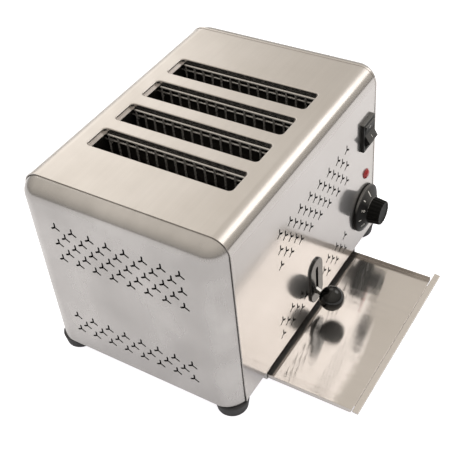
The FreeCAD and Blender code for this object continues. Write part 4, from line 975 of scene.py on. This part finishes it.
@dataclass
class PhotographCamera:
    """The camera as solved from the casing's corners, for a square picture."""

    place: Triple = (-0.545468, -0.360720, 0.678662)
    right: Triple = (0.5206534, -0.8497112, -0.0831313)
    down: Triple = (-0.6011378, -0.2957075, -0.7424220)
    forward: Triple = (0.6062618, 0.4365179, -0.6647547)
    picture_side: float = 452.0
    focal_pixels: float = 907.12
    sensor: float = 36.0
    nearest: float = 0.02
    farthest: float = 60.0

    def build(self) -> None:
        """Makes the camera and makes it the scene's."""
        data = bpy.data.cameras.new("photograph camera")
        data.sensor_width = self.sensor
        data.lens = self.focal_pixels / self.picture_side * self.sensor
        data.clip_start = self.nearest
        data.clip_end = self.farthest
        camera = linked("photograph camera", data)
        axes = [Vector(self.right), -Vector(self.down), -Vector(self.forward)]
        turn = Matrix([[axis[row] for axis in axes] for row in range(3)]).to_4x4()
        camera.matrix_world = Matrix.Translation(Vector(self.place)) @ turn
        bpy.context.scene.camera = camera


@dataclass
class SoftBox:
    """One round soft lamp that points at the toaster."""

    name: str
    direction: Triple
    distance: float
    radius: float
    level: float
    colour: Triple

    def build(self, target: Vector) -> None:
        """Hangs the lamp at its distance from the target, facing it.

        Its power is the level, as radiance, times pi and its area.

        Args:
            target: The place that it points at.
        """
        data = bpy.data.lights.new(self.name, "AREA")
        data.shape = "DISK"
        data.size = 2.0 * self.radius
        data.color = self.colour
        data.energy = self.level * math.pi * math.pi * self.radius ** 2
        lamp = linked(self.name, data)
        way = Vector(self.direction).normalized()
        lamp.location = target + way * self.distance
        lamp.rotation_euler = way.to_track_quat("Z", "Y").to_euler()


@dataclass
class Studio:
    """A white floor, a warm pale room and soft lamps."""

    floor_half: float = 8.0
    floor_white: Triple = (0.80, 0.83, 0.88)
    floor_roughness: float = 0.9
    floor_specular: float = 0.1
    floor_lift: float = 0.8
    floor_gloss: float = 0.34
    floor_glow: Triple = (1.0, 0.98, 1.02)
    room_belt: Triple = (0.30, 0.28, 0.255)
    room_low: Triple = (0.50, 0.465, 0.415)
    room_high: Triple = (1.00, 0.93, 0.825)
    room_shown: Triple = (0.94, 0.94, 0.93)
    target: Triple = (0.0, 0.0, 0.1)

    def build(self) -> None:
        """Sets up floor, room, lamps and the plain view transform."""
        self.build_floor()
        self.build_room()
        lamps = (
            SoftBox(name="front right soft box", direction=(0.644, -0.372, 0.669), distance=2.5,
                    radius=0.62, level=2.2, colour=(1.0, 0.985, 0.965)),
            SoftBox(name="rear right soft box", direction=(0.544, 0.696, 0.469), distance=3.5,
                    radius=0.97, level=1.4, colour=(1.0, 0.964, 0.907)),
        )
        for lamp in lamps:
            lamp.build(Vector(self.target))
        bpy.context.scene.view_settings.view_transform = "Standard"

    def build_floor(self) -> None:
        """A flat floor that keeps shadows, and glows to the camera and in reflections."""
        half = self.floor_half
        mesh = bpy.data.meshes.new("floor")
        corners = [(-half, -half, 0.0), (half, -half, 0.0), (half, half, 0.0), (-half, half, 0.0)]
        mesh.from_pydata(corners, [], [(0, 1, 2, 3)])
        floor = linked("floor", mesh)
        material = bpy.data.materials.new("white floor")
        material.use_nodes = True
        nodes = material.node_tree.nodes
        sheet = Sheet(material.node_tree)
        shader = sheet.fill(nodes["Principled BSDF"], Base_Color=self.floor_white,
                            Roughness=self.floor_roughness, Specular_IOR_Level=self.floor_specular)
        seen = sheet.add("ShaderNodeLightPath").outputs
        direct = sheet.times(seen["Is Camera Ray"], self.floor_lift)
        mirrored = sheet.math("MAXIMUM", seen["Is Glossy Ray"], seen["Is Transmission Ray"])
        shown = sheet.math("ADD", direct, sheet.times(mirrored, self.floor_gloss))
        glow = sheet.add("ShaderNodeEmission", Color=self.floor_glow, Strength=shown)
        both = sheet.add("ShaderNodeAddShader")
        sheet.feed(both, 0, shader.outputs[0])
        sheet.feed(both, 1, glow.outputs[0])
        sheet.fill(nodes["Material Output"], Surface=both.outputs[0])
        mesh.materials.append(material)

    def build_room(self) -> None:
        """The world: dim at the horizon and warm white overhead, but plain pale to the camera."""
        world = bpy.data.worlds.new("pale room")
        world.use_nodes = True
        sheet = Sheet(world.node_tree)
        way = sheet.add("ShaderNodeTexCoord").outputs["Generated"]
        height = sheet.add("ShaderNodeSeparateXYZ", Vector=way).outputs["Z"]
        near = sheet.mix(sheet.ramp(height, 0.0, 0.2), self.room_belt, self.room_low)
        colour = sheet.mix(sheet.ramp(height, 0.1, 0.9), near, self.room_high)
        seen = sheet.add("ShaderNodeLightPath").outputs["Is Camera Ray"]
        sheet.fill(world.node_tree.nodes["Background"], Color=sheet.mix(seen, colour, self.room_shown))
        bpy.context.scene.world = world


@dataclass
class Casing:
    """The folded wrap, the two drawn caps, the base, the feet and the fasteners."""

    hole_edge: float = 0.12 * MM
    foot_edge: float = 0.8 * MM
    screw_edge: float = 0.5 * MM

    def build(self) -> None:
        """Hones copies of the sheets that show, and dresses what is hidden."""
        honed("wrap_shell", "folded_wrap", Body.ROOT, wrap_steel, "brushed_steel", self.hole_edge)
        for side in ("left", "right"):
            honed(f"{side}_end_cap", f"drawn_cap_{side}", Body.ROOT, cap_steel, "brushed_steel",
                  self.hole_edge)
        honed("rubber_feet", "tapered_feet", Body.ROOT, foot_rubber, "rubber", self.foot_edge,
              segments=3)
        honed("pan_screws", "domed_screws", Body.ROOT, screw_steel, "bright_steel", self.screw_edge,
              segments=3)
        dressed("base_plate", base_steel)
        for node in ("foot_screws", "foot_nuts", "earth_screw"):
            dressed(node, screw_steel)


@dataclass
class BreadWell:
    """The chamber's plates, the guide wires and the racks that the bread stands on."""

    slots: int = 4

    def build(self) -> None:
        """Dresses the wells; the wires get copies that shade rounder."""
        for node in ("front_chamber_plate", "rear_chamber_plate", "left_heat_shield", "right_heat_shield"):
            dressed(node, shade_dark_chamber_steel)
        for number in range(1, 2 * self.slots + 1):
            honed(f"guide_grid_{number}", f"guide_wires_{number}", Body.ROOT, wire_steel, "bright_steel",
                  0.0, sharp=WIRE_SHARP_ANGLE)
        for number in range(1, self.slots + 1):
            honed(f"bread_rack_{number}", f"rack_wires_{number}", Body.CARRIAGE, wire_steel,
                  "bright_steel", 0.0, sharp=WIRE_SHARP_ANGLE)


@dataclass
class Heaters:
    """The mica boards, their ribbon, the ceramics and the bus bars."""

    boards: int = 5

    def build(self) -> None:
        """Dresses the heaters."""
        for number in range(1, self.boards + 1):
            dressed(f"element_board_{number}", shade_dark_mica_board)
            dressed(f"element_winding_{number}", ribbon_metal)
        dressed("ceramic_insulators", glazed_ceramic)
        dressed("bus_bars", screw_steel)


@dataclass
class Lift:
    """The carriage that the lever moves, and the rods that it runs on."""

    def build(self) -> None:
        """Dresses the lift."""
        dressed("carriage_plate", base_steel)
        dressed("carriage_bushes", brass)
        dressed("guide_rods", screw_steel)
        dressed("rod_brackets", base_steel)


@dataclass
class Lever:
    """The arm, the ball on its end and the plate round its slot."""

    ball_steps: int = 96
    ball_rows: int = 64
    rim_stop: float = 0.03
    rim_break: float = 0.05 * MM
    collar_inset: float = 0.4 * MM
    stud_radius: float = 1.8 * MM
    stud_depth: float = 2.0 * MM
    arm_edge: float = 0.35 * MM
    plate_edge: float = 0.25 * MM

    def build(self) -> None:
        """Makes the ball and hones the arm and the plate."""
        placed(self.ball(), Body.CARRIAGE, ball_plastic, "black_gloss", "ball_knob")
        honed("lever_arm", "flat_lever", Body.CARRIAGE, lever_steel, "bright_steel", self.arm_edge,
              segments=3)
        honed("lever_escutcheon", "slot_plate", Body.ROOT, plate_plastic, "black_gloss",
              self.plate_edge, segments=3)

    def ball(self) -> Piece:
        """A ball with a small flat round its stud's bore.

        Its rows are circles about the stud's line: radius R sin a at Y = middle - R cos a,
        with a from 0 at the front to just short of the flat's rim. A small slope leads on
        to the flat, and the bore goes in from there.

        Returns:
            The turned ball.
        """
        box = Extent.of("ball_knob")
        radius = box.size.x / 2
        middle_y = box.low.y + radius
        flat_y = box.high.y
        rim = math.acos((middle_y - flat_y) / radius)
        a = np.linspace(0.0, rim - self.rim_stop, self.ball_rows)
        round_part = np.column_stack((radius * np.sin(a), middle_y - radius * np.cos(a)))
        rim_radius = radius * math.sin(rim)
        bore_y = flat_y - self.stud_depth
        ends = np.array([(rim_radius - self.rim_break, flat_y - self.rim_break),
                         (rim_radius - self.collar_inset, flat_y), (self.stud_radius, flat_y),
                         (self.stud_radius, bore_y), (0.0, bore_y)])
        profile = np.vstack((round_part, ends))
        return lathe("turned_ball", profile, box.middle.x, box.middle.z, self.ball_steps)


@dataclass
class TimerDial:
    """The dial: a skirt with marks and numbers, and a fluted grip in front of it.

    Places along the axis are counted from the dial's back towards its front, only the
    dish's depth from the front inwards. A line is its inner radius, its outer radius and
    its width.
    """

    box: Extent = field(default_factory=lambda: Extent.of("timer_knob"))
    steps: int = 240
    round_steps: int = 4
    flutes: int = 20
    flute_depth: float = 0.55 * MM
    flute_share: float = 0.34
    flute_start: float = 0.9
    dish_depth: float = 0.6 * MM
    dish_floor: float = 9.4 * MM
    dish_rim: float = 10.2 * MM
    grip_front: float = 12.7 * MM
    grip_back: float = 14.0 * MM
    grip_start: float = 8.7 * MM
    grip_finish: float = 9.0 * MM
    slack: float = 0.05 * MM
    face_radius: float = 24.3 * MM
    skirt_rim: float = 3.3 * MM
    skirt_slope: float = 0.9 * MM
    skirt_wall: float = 2.3 * MM
    skirt_inside: float = 1.2 * MM
    hollow_radius: float = 11.8 * MM
    hollow_depth: float = 6.8 * MM
    hub_radius: float = 6.5 * MM
    bore_radius: float = 3.1 * MM
    bore_depth: float = 14.0 * MM
    marks: int = 11
    mark_angle: float = math.radians(30.0)
    zero_angle: float = math.radians(90.0)
    zero_line: Triple = (16.6 * MM, 23.4 * MM, 1.1 * MM)
    tick_line: Triple = (19.6 * MM, 22.3 * MM, 1.0 * MM)
    mark_lift: float = 0.06 * MM
    mark_crown: float = 0.02 * MM
    number_step: int = 10
    number_height: float = 2.5 * MM
    number_stretch: float = 1.35
    number_radius: float = 18.9 * MM
    capital_share: float = 0.7

    def build(self) -> None:
        """Makes the dial and its marks: the zero line, then ticks and numbers in turn."""
        knob = placed(self.knob(), Body.DIAL, knob_plastic, "black_plastic", "timer_knob")
        self.blacken_grip(knob.data)
        for number in range(self.marks):
            angle = self.zero_angle + number * self.mark_angle
            if number == 0:
                mark = self.tick("zero_line", angle, self.zero_line)
            elif number % 2:
                mark = self.tick(f"tick_{number}", angle, self.tick_line)
            else:
                mark = self.numeral(str(number // 2 * self.number_step), angle)
            placed(mark, Body.DIAL, mark_paint, "black_plastic")

    def blacken_grip(self, mesh: bpy.types.Mesh) -> None:
        """Gives the faces in front of the grip's foot the grip's own finish.

        Args:
            mesh: The dial's mesh.
        """
        mesh.materials.append(grip_plastic.material())
        limit = self.box.high.y - self.grip_finish
        for face in mesh.polygons:
            face.material_index = int(face.center.y < limit)

    def fluted(self, radii: np.ndarray, angles: np.ndarray) -> np.ndarray:
        """Presses hollows into the grip.

        A hollow takes depth * max(0, 1 - (s / w)^2), where s is the angle from the nearest
        flute's middle and w is the hollow's share of the pitch, and only on the grip.

        Args:
            radii: The radius of each point of the dial.
            angles: The angle of each column.

        Returns:
            The radii with the hollows.
        """
        pitch = TURN / self.flutes
        away = np.abs((angles + pitch / 2) % pitch - pitch / 2)
        hollow = np.clip(1.0 - (away / (self.flute_share * pitch)) ** 2, 0.0, 1.0)
        on_grip = (radii > self.flute_start * self.grip_front) & (radii < self.grip_back + self.slack)
        return radii - self.flute_depth * hollow * on_grip

    def knob(self) -> Piece:
        """Turns the whole dial, front and hollow back, in one profile.

        Each corner is its radius, its Y and the reach of its round.

        Returns:
            The dial without its marks.
        """
        back = self.box.high.y
        front = self.box.low.y
        rim = self.box.size.x / 2
        corners = [
            (0.0, front + self.dish_depth, 0.0),
            (self.dish_floor, front + self.dish_depth, 0.3 * MM),
            (self.dish_rim, front, 0.3 * MM),
            (self.grip_front - 0.1 * MM, front, 0.9 * MM),
            (self.grip_back, back - self.grip_start, 0.7 * MM),
            (self.face_radius, back - self.skirt_rim, 0.6 * MM),
            (rim, back - self.skirt_rim + self.skirt_slope, 0.5 * MM),
            (rim, back, 0.4 * MM),
            (rim - self.skirt_wall, back, 0.3 * MM),
            (rim - self.skirt_wall, back - self.skirt_inside, 0.3 * MM),
            (self.hollow_radius, back - self.hollow_depth, 0.4 * MM),
            (self.hub_radius, back - self.hollow_depth, 0.4 * MM),
            (self.hub_radius, back, 0.3 * MM),
            (self.bore_radius, back, 0.2 * MM),
            (self.bore_radius, back - self.bore_depth, 0.0),
            (0.0, back - self.bore_depth, 0.0),
        ]
        profile = rounded_profile(corners, self.round_steps)
        middle = self.box.middle
        return lathe("fluted_dial", profile, middle.x, middle.z, self.steps, self.fluted)

    def cone_y(self, radius: np.ndarray) -> np.ndarray:
        """Y of marks on the dial's cone: a straight line from skirt to grip, plus the marks' lift.

        Args:
            radius: The distance from the axis.

        Returns:
            The place along the axis.
        """
        back = self.box.high.y
        share = (self.face_radius - radius) / (self.face_radius - self.grip_back)
        return back - self.skirt_rim - share * (self.grip_start - self.skirt_rim) - self.mark_lift

    def on_cone(self, along: np.ndarray, across: np.ndarray, angle: float) -> np.ndarray:
        """Lays flat places on the cone.

        Args:
            along: Distance from the axis on the ray at the angle.
            across: Distance to the side of that ray.
            angle: The ray's angle.

        Returns:
            The points in space.
        """
        radius = np.hypot(along, across)
        turn = angle + np.arctan2(across, along)
        middle = self.box.middle
        return np.stack((middle.x + radius * np.cos(turn), self.cone_y(radius),
                         middle.z + radius * np.sin(turn)), axis=-1)

    def tick(self, name: str, angle: float, line: Triple) -> Piece:
        """A short stroke along a ray of the cone, with rounded ends and a slight crown.

        At s from -1 to 1 across the stroke, the crown lifts it by its height * (1 - s^2).

        Args:
            name: The piece's name.
            angle: The ray's angle.
            line: The stroke's inner radius, outer radius and width.

        Returns:
            The stroke.
        """
        inner, outer, width = line
        s = np.linspace(-1.0, 1.0, 7)[None, :]
        t = np.linspace(0.0, 1.0, 17)[:, None]
        along = inner + (outer - inner) * t
        across = s * width / 2 * rounded_ends(2 * t - 1)
        points = self.on_cone(along * np.ones_like(s), across, angle)
        points[..., 1] -= self.mark_crown * (1 - s ** 2)
        return surface(name, points, wrap_columns=False)

    def numeral(self, text: str, angle: float) -> Piece:
        """A number laid on the cone, with its line of writing along a ray.

        It reads outwards, or inwards on the dial's left half, so that it never stands on
        its head.

        Args:
            text: The number.
            angle: The ray's angle.

        Returns:
            The number as a mesh.
        """
        curve = bpy.data.curves.new(f"number_{text}", "FONT")
        curve.body = text
        curve.size = self.number_height / self.capital_share
        curve.align_x = "CENTER"
        curve.align_y = "CENTER"
        curve.resolution_u = 6
        carrier = linked(f"number_{text}_line", curve)
        bpy.context.view_layer.update()
        written = carrier.evaluated_get(bpy.context.evaluated_depsgraph_get())
        mesh = bpy.data.meshes.new_from_object(written)
        bpy.data.objects.remove(carrier)
        flat = np.empty(len(mesh.vertices) * 3)
        mesh.vertices.foreach_get("co", flat)
        flat = flat.reshape(-1, 3)
        outward = -1.0 if math.cos(angle) < -0.01 else 1.0
        along = self.number_radius + outward * self.number_stretch * flat[:, 0]
        points = self.on_cone(along, outward * flat[:, 1], angle)
        mesh.vertices.foreach_set("co", points.ravel())
        mesh.update()
        return linked(f"number_{text}", mesh)


@dataclass
class PowerSwitch:
    """The rocker switch with its printed marks, a bar for on and a ring for off.

    Tip and valley are places on the rocker's front, out and up from its pivot.
    """

    pivot_inset: float = 9.0 * MM
    tilt: float = math.radians(11.3)
    tip_out: float = 15.96 * MM
    tip_up: float = 9.36 * MM
    valley: float = 3.4 * MM
    mark_share: float = 0.55
    mark_lift: float = 0.05 * MM
    mark_crown: float = 0.01 * MM
    mark_size: float = 1.5 * MM
    stroke: float = 0.55 * MM
    bezel_edge: float = 0.3 * MM
    rocker_edge: float = 0.5 * MM

    def build(self) -> None:
        """Prints the two marks, and hones the bezel and the rocker."""
        placed(self.mark("mark_on", -1.0, self.bar()), Body.ROCKER, mark_paint, "black_plastic")
        placed(self.mark("mark_off", 1.0, self.ring()), Body.ROCKER, mark_paint, "black_plastic")
        honed("switch_housing", "switch_bezel", Body.ROOT, switch_plastic, "black_plastic",
              self.bezel_edge, segments=3)
        honed("switch_rocker", "rocker_paddle", Body.ROCKER, switch_plastic, "black_plastic",
              self.rocker_edge, segments=3)

    def bar(self) -> np.ndarray:
        """A short upright stroke.

        Returns:
            Rows of across, along and lift.
        """
        s = np.linspace(-1.0, 1.0, 5)[None, :]
        t = np.linspace(-1.0, 1.0, 13)[:, None]
        width = self.stroke / 2 * rounded_ends(t)
        parts = np.broadcast_arrays(s * width, self.mark_size * t, self.mark_crown * (1 - s ** 2))
        return np.stack(parts, axis=-1)

    def ring(self) -> np.ndarray:
        """A ring.

        Returns:
            Rows of across, along and lift.
        """
        s = np.linspace(-1.0, 1.0, 5)[:, None]
        angle = np.linspace(0.0, TURN, 49)[None, :]
        radius = self.mark_size - self.stroke / 2 + s * self.stroke / 2
        lift = self.mark_crown * (1 - s ** 2) * np.ones_like(angle)
        return np.stack((radius * np.cos(angle), radius * np.sin(angle), lift), axis=-1)

    def mark(self, name: str, side: float, flat: np.ndarray) -> Piece:
        """Lays a flat mark on the upper (1) or lower (-1) face of the rocker.

        The face runs from the valley to the tip, in the plane of out and up from the
        pivot; the whole rocker is then turned about X by its tilt.

        Args:
            name: The piece's name.
            side: The face, 1 or -1.
            flat: The mark's places, as rows of across, along and lift.

        Returns:
            The mark.
        """
        bezel = Extent.of("switch_housing")
        start = np.array((self.tip_out - self.valley, 0.0))
        run = np.array((self.tip_out, side * self.tip_up)) - start
        run /= np.linalg.norm(run)
        normal = np.array((abs(run[1]), -side * run[0]))
        length = math.hypot(self.valley, self.tip_up)
        along = self.mark_share * length + flat[..., 1]
        lift = self.mark_lift + flat[..., 2]
        out = start[0] + run[0] * along + normal[0] * lift
        up = start[1] + run[1] * along + normal[1] * lift
        pivot_y = control_wall_y() + self.pivot_inset
        points = np.empty(flat.shape)
        points[..., 0] = bezel.middle.x + flat[..., 0]
        points[..., 1] = pivot_y - out * math.cos(self.tilt) + up * math.sin(self.tilt)
        points[..., 2] = bezel.middle.z + out * math.sin(self.tilt) + up * math.cos(self.tilt)
        return surface(name, points, wrap_columns=False)


@dataclass
class SignalLamp:
    """The red lamp beside the dial."""

    steps: int = 72
    dome_rows: int = 18
    dome_power: float = 3.6
    flange_width: float = 0.6 * MM
    flange_height: float = 0.8 * MM
    round_steps: int = 5

    def build(self) -> None:
        """Makes the lens and dresses its holder."""
        placed(self.lens(), Body.ROOT, red_plastic, "red_lens", "lamp_lens")
        dressed("lamp_body", timer_plastic)

    def lens(self) -> Piece:
        """A domed lens on a rounded flange, with a neck through the wall.

        The dome is y = front + h (r / R)^power out to the neck's radius R. Each corner is
        its radius, its Y and the reach of its round.

        Returns:
            The turned lens.
        """
        box = Extent.of("lamp_lens")
        wall = control_wall_y()
        reach = box.size.x / 2
        neck = reach - self.flange_width
        face = wall - self.flange_height
        r = np.linspace(0.0, 1.0, self.dome_rows)
        dome = np.column_stack((neck * r, box.low.y + (face - box.low.y) * r ** self.dome_power))
        corners = [
            (neck, face, 0.0),
            (reach, face, 0.35 * MM),
            (reach, wall, 0.1 * MM),
            (neck, wall, 0.1 * MM),
            (neck, box.high.y, 0.2 * MM),
            (0.0, box.high.y, 0.0),
        ]
        profile = np.vstack((dome, rounded_profile(corners, self.round_steps)[1:]))
        return lathe("domed_lens", profile, box.middle.x, box.middle.z, self.steps)


@dataclass
class CrumbTray:
    """The sheet tray, its folded lip and the rails that it slides in."""

    tray_edge: float = 0.18 * MM
    lip_edge: float = 0.2 * MM

    def build(self) -> None:
        """Hones the tray and its lip, and dresses the rails."""
        honed("crumb_tray", "folded_tray", Body.TRAY, tray_steel, "mirror_steel", self.tray_edge)
        honed("tray_handle", "tray_lip", Body.TRAY, tray_steel, "mirror_steel", self.lip_edge,
              segments=3)
        for node in ("left_tray_rail", "right_tray_rail"):
            dressed(node, rail_steel)


@dataclass
class Electrics:
    """The timer, the mains connection and the leads."""

    gland_edge: float = 0.5 * MM

    def build(self) -> None:
        """Dresses what lies behind the walls, and hones the gland."""
        dressed("timer_body", timer_plastic)
        dressed("timer_shaft", screw_steel)
        dressed("terminal_block", glazed_ceramic)
        dressed("brass_terminals", brass)
        dressed("internal_leads", sleeve_braid)
        dressed("gland_nut", gland_plastic)
        honed("cord_gland", "gland_body", Body.ROOT, gland_plastic, "black_plastic", self.gland_edge,
              segments=3)


def main() -> None:
    """Builds the toaster in order."""
    logging.basicConfig(level=logging.INFO, format="%(name)s: %(message)s")
    PhotographCamera().build()
    Studio().build()
    for part in (Casing(), BreadWell(), Heaters(), Lift(), Lever(), TimerDial(), PowerSwitch(), SignalLamp(),
                 CrumbTray(), Electrics()):
        log.info("%s", type(part).__name__)
        part.build()


if __name__ == "__main__":
    main()
